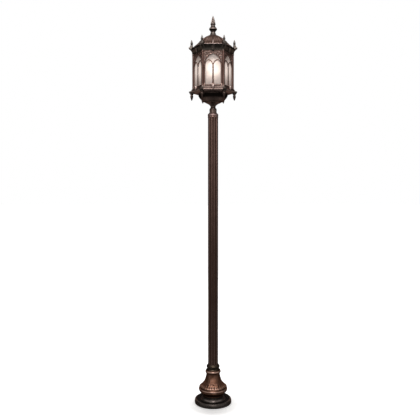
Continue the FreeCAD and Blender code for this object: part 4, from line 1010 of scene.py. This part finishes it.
# raised rib up the middle of each face of the roof
rib_line = spline([(q[0] + 0.6, q[1] + 0.2) for q in OUT[5:]][:-2], 4)
rib_rows = []
for i, (a_, z_) in enumerate(rib_line):
    d_ = rib_line[min(i + 1, len(rib_line) - 1)] - rib_line[max(i - 1, 0)]
    n_ = np.array([d_[1], -d_[0]]) / np.hypot(*d_)
    half_ = 5.2 - 3.8 * min(1.0, 1.6 * i / (len(rib_line) - 1))
    rib_rows.append([(u_ * half_, a_ + n_[0] * h_, z_ + n_[1] * h_) for u_, h_ in ((-1.0, -1.6), (-0.95, 0.5), (-0.55, 1.3), (0.0, 1.6), (0.55, 1.3), (0.95, 0.5), (1.0, -1.6))])
rib_v = np.array(rib_rows).reshape(-1, 3)
rib_f = grid_faces(len(rib_rows), 7, False) + [tuple(range(6, -1, -1)), tuple((len(rib_rows) - 1) * 7 + k for k in range(7))]
ribs = piece("roof_ribs", six(face_place((rib_v, rib_f))), ROOF, M_RIB_HIGHLIGHT, ["roof_dome"], sharp=60)
co = np.zeros(len(ribs.data.vertices) * 3)
ribs.data.vertices.foreach_get("co", co)
# painted highlight: the rib palest at its foot, fading to the roof's coat higher up
ribs.data.attributes["wear_and_painted_light"].data.foreach_set("value", (1.0 - smoothstep(1931.0, 1950.0, co[2::3] / MM)).astype(np.float32))
crown_prof = profile(
    (4.5, 1976.6), (18.4, 1976.6, 0.4), (18.8, 1981.4), (19.2, 1982.4), (18.4, 1983.6), [(17.0, 1985.8), (15.8, 1988.0)], (15.4, 1988.8), (16.1, 1989.6), (16.4, 1990.8), (15.9, 1991.9), (14.8, 1992.4), (14.5, 1993.2), (13.9, 1994.0, 0.3), (4.5, 1994.0))
piece("roof_crown_ring", lathe(split_long(crown_prof, 2.5), 96), ROOF, M_FINIAL, ["roof_dome"])

# =====================================================================  top finial
top_prof = profile(
    (4.35, 1995.5), (12.8, 1995.5, 0.4), (13.4, 1996.4), (13.2, 1998.0), [(12.3, 2000.0), (12.6, 2002.4)], (13.9, 2003.4), (14.3, 2004.4), (13.6, 2005.3), (14.4, 2006.1),
    [(17.0, 2008.8), (20.2, 2012.4)], (20.9, 2013.4), (20.3, 2014.4), (21.4, 2015.6), (21.4, 2018.2), (20.3, 2019.4), (20.5, 2020.4), [(18.8, 2023.0), (15.2, 2026.6)], (13.7, 2027.4), (14.2, 2028.6), (13.2, 2029.8),
    [(11.9, 2032.4), (11.5, 2036.0), (11.8, 2038.8)], (12.7, 2039.8), (13.7, 2041.2), (13.7, 2043.6), (12.6, 2044.6),
    [(12.8, 2047.6), (11.9, 2053.0), (10.5, 2059.0), (8.6, 2066.6), (5.8, 2075.8), (2.8, 2084.0), (1.0, 2088.6)], (0.0, 2090.0), closed=False, per=7)
bore = [(0.0, 2036.0), (4.35, 2034.0)]
top_line = np.vstack([np.array(bore), top_prof])


def spire(T, R, Z):
    w = smoothstep(2044.8, 2050.0, Z) * smoothstep(2089.0, 2082.0, Z)
    r = R * (1 - 0.16 * w * np.abs(np.sin(T * 4.0 + (Z - 2044.0) * 0.02)) ** 0.7)
    k = smoothstep(2005.6, 2009.0, Z) * smoothstep(2013.2, 2011.8, Z) * (R > 14)
    r = r * (1 - 0.05 * k * np.abs(np.sin(T * 8.0)))
    k2 = smoothstep(2020.2, 2022.0, Z) * smoothstep(2027.0, 2025.4, Z)
    return r * (1 - 0.05 * k2 * np.abs(np.sin(T * 8.0))), Z


top = piece("top_finial_turned", lathe(split_long(top_line, 1.5, False), 96, spire), FINIAL, M_FINIAL, ["top_finial"])
# painted highlight on the knop's shoulder and painted shade below it; the rubbed edges held even along the spire
co = np.zeros(len(top.data.vertices) * 3)
top.data.vertices.foreach_get("co", co)
z_here = co[2::3] / MM
wear_and_painted_light = np.zeros(len(z_here), np.float32)
top.data.attributes["wear_and_painted_light"].data.foreach_get("value", wear_and_painted_light)
wear_and_painted_light = np.where(z_here > 2046.0, np.clip(wear_and_painted_light, -0.2, 0.12), wear_and_painted_light) + 0.9 * np.exp(-(((z_here - 2019.4) / 3.0) ** 2)) - 0.36 * smoothstep(2004.5, 2007.0, z_here) * smoothstep(2016.0, 2014.0, z_here)
top.data.attributes["wear_and_painted_light"].data.foreach_set("value", np.clip(wear_and_painted_light, -1, 1).astype(np.float32))

# =====================================================================  inner and small parts keep their own shape
for names, mat in (
    (["anchor_plate", "center_nipple", "nipple_nuts", "roof_bridge", "bridge_screws", "finial_rod", "rod_nuts", "finial_washer", "holder_bracket", "bracket_screws", "earth_screw", "bell_screws", "upper_column_screws", "lower_column_screws"], M_ZINC),
    (["rim_screws", "socket_grub_screws", "collar_grub_screw", "cap_grub_screws"], M_SCREW),
    (["cable_grommet", "roof_gasket"], M_RUBBER), (["terminal_block"], M_PLASTIC), (["lamp_holder"], M_PORCELAIN), (["lamp_lead"], M_SHEATH), (["lamp_bulb"], M_BULB)):
    for nm in names:
        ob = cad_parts[nm]
        ob.data.materials.clear()
        ob.data.materials.append(mat)

# =====================================================================  stage, light and camera
bm = bmesh.new()
bmesh.ops.create_grid(bm, x_segments=1, y_segments=1, size=30.0)
me = bpy.data.meshes.new("floor")
bm.to_mesh(me)
bm.free()
floor = bpy.data.objects.new("floor", me)
floor.location = (0, 0, -0.0006)
scene.collection.objects.link(floor)
M_FLOOR, nt, b = new_material("pale_floor")
co = object_coords(nt)
nt.links.new(mix_color(nt, remap(nt, noise(nt, 3.0, 2.0, 0.5, co), 0.3, 0.7), (0.90, 0.895, 0.89), (0.92, 0.915, 0.91)), b.inputs["Base Color"])
b.inputs["Roughness"].default_value = 0.85
b.inputs["Emission Color"].default_value = (1.0, 1.0, 1.0, 1.0)
sep = nt.nodes.new("ShaderNodeSeparateXYZ")          # painted contact shadow: the floor glows less near the foot, centred a little in front of it, and more away from it, so the floor runs into the background
nt.links.new(co, sep.inputs[0])
shadow_reach = math_node(nt, "SQRT", math_node(nt, "ADD", math_node(nt, "POWER", sep.outputs["X"], 2.0), math_node(nt, "POWER", math_node(nt, "ADD", sep.outputs["Y"], 0.025), 2.0)), 0.0)
nt.links.new(remap(nt, shadow_reach, 0.118, 0.18, 0.36, 0.68), b.inputs["Emission Strength"])
floor.visible_glossy = False
floor.visible_diffuse = False
me.materials.append(M_FLOOR)

world = bpy.data.worlds.new("studio")
scene.world = world
world.use_nodes = True
wn = world.node_tree
bg = wn.nodes["Background"]                      # pale surroundings seen behind the object
bg.inputs["Color"].default_value = (1.0, 1.0, 1.0, 1.0)
bg.inputs["Strength"].default_value = 1.0
soft = wn.nodes.new("ShaderNodeBackground")      # soft fill that lights the object
soft.inputs["Color"].default_value = (1.0, 0.98, 0.96, 1.0)
wco = wn.nodes.new("ShaderNodeTexCoord")         # level of the fill by direction
wsep = wn.nodes.new("ShaderNodeSeparateXYZ")
wn.links.new(wco.outputs["Generated"], wsep.inputs[0])
ramp = wn.nodes.new("ShaderNodeValToRGB")          # in front: a bright upper half, a dark band below eye level, a dim floor
ramp.color_ramp.interpolation = "EASE"
stops = [(-1.0, 0.07), (-0.42, 0.30), (-0.30, 0.28), (-0.22, 0.02), (-0.10, 0.02), (0.0, 0.62), (0.30, 0.70), (0.55, 0.35), (0.75, 0.50), (1.0, 0.55)]
while len(ramp.color_ramp.elements) < len(stops):
    ramp.color_ramp.elements.new(0.5)
for el, (z, v) in zip(ramp.color_ramp.elements, stops):
    el.position = (z + 1.0) / 2.0
    el.color = (v, v, v, 1.0)
wn.links.new(remap(wn, wsep.outputs["Z"], -1.0, 1.0, 0.0, 1.0, False), ramp.inputs["Fac"])
aside = remap(wn, wsep.outputs["Y"], -0.35, 0.25, 0.0, 1.0)
level = wn.nodes.new("ShaderNodeMix")
wn.links.new(aside, level.inputs[0])
wn.links.new(ramp.outputs["Color"], level.inputs[2])
under = remap(wn, wsep.outputs["Z"], -0.25, -0.60, 0.0, 0.40)
wn.links.new(math_node(wn, "ADD", remap(wn, wsep.outputs["Z"], 0.45, 0.85, 0.12, 0.55), under), level.inputs[3])
behind = remap(wn, wsep.outputs["Y"], 0.70, 0.92, 0.0, 0.55)
wn.links.new(math_node(wn, "ADD", level.outputs[0], behind), soft.inputs["Strength"])
lp = wn.nodes.new("ShaderNodeLightPath")
mx = wn.nodes.new("ShaderNodeMixShader")
wn.links.new(lp.outputs["Is Camera Ray"], mx.inputs[0])
wn.links.new(soft.outputs[0], mx.inputs[1])
wn.links.new(bg.outputs[0], mx.inputs[2])
wn.links.new(mx.outputs[0], wn.nodes["World Output"].inputs["Surface"])


def area(name, loc, target, size, power, color=(1, 1, 1)):
    li = bpy.data.lights.new(name, "AREA")
    li.shape = "RECTANGLE"
    li.size, li.size_y = size
    li.energy = power
    li.color = color
    ob = bpy.data.objects.new(name, li)
    ob.location = loc
    ob.rotation_euler = (Vector(target) - Vector(loc)).to_track_quat("-Z", "Y").to_euler()
    scene.collection.objects.link(ob)
    return ob


key = area("key", (-0.2, -2.0, 4.3), (0, 0, 1.0), (3.4, 1.0), 130.0, (1.0, 0.97, 0.95))
panel = area("front_panel", (-0.5, -3.5, 2.3), (0, 0, 1.6), (1.3, 1.5), 16.0, (1.0, 0.96, 0.94))
# a broad light on the floor alone, from behind, so that a soft shadow gathers in front of the foot
back = area("floor_light", (0.0, 2.6, 2.2), (0, 0, 0), (3.6, 2.0), 60.0)
floor_only = bpy.data.collections.new("floor_only")
floor_only.objects.link(floor)
back.light_linking.receiver_collection = floor_only
low = area("low_front", (0.12, -3.0, 0.9), (0, 0, 0.1), (1.3, 0.6), 7.4, (1.0, 0.96, 0.94))
side_l = area("side_left", (-1.05, 1.25, 0.45), (0, 0, 0.08), (0.9, 0.9), 1.8)
side_r = area("side_right", (1.05, 1.25, 0.45), (0, 0, 0.08), (0.9, 0.9), 1.8)
base_only = bpy.data.collections.new("base_only")
base_only.objects.link(bell)
base_only.objects.link(foot)
for ob in (low, side_l, side_r):
    ob.light_linking.receiver_collection = base_only
mouldings = bpy.data.collections.new("mouldings")
for nm in ("cornice", "keystones", "tray"):
    mouldings.objects.link(bpy.data.objects[nm])
for s in (-1, 1):
    ob = area("moulding_side_%s" % "lr"[s > 0], (1.75 * s, 1.0, 1.75), (0, 0, 1.82), (1.1, 1.1), 3.2)
    ob.light_linking.receiver_collection = mouldings
not_floor = bpy.data.collections.new("not_floor")
not_floor.objects.link(floor)
not_floor.collection_objects[0].light_linking.link_state = "EXCLUDE"
key.light_linking.receiver_collection = not_floor
panel.light_linking.receiver_collection = not_floor

cam = bpy.data.cameras.new("camera")
cam.sensor_width = 36.0
cam.lens = 539.14 / 420.0 * 36.0
cam.shift_x = -3.05 / 420.0
cam.shift_y = -14.0 / 420.0
cam_ob = bpy.data.objects.new("camera", cam)
cam_ob.location = (0.0, -2.9147, 1.171)
cam_ob.rotation_euler = (math.radians(89), 0, 0)
scene.collection.objects.link(cam_ob)
scene.camera = cam_ob
scene.view_settings.view_transform = "Standard"

bpy.context.view_layer.update()
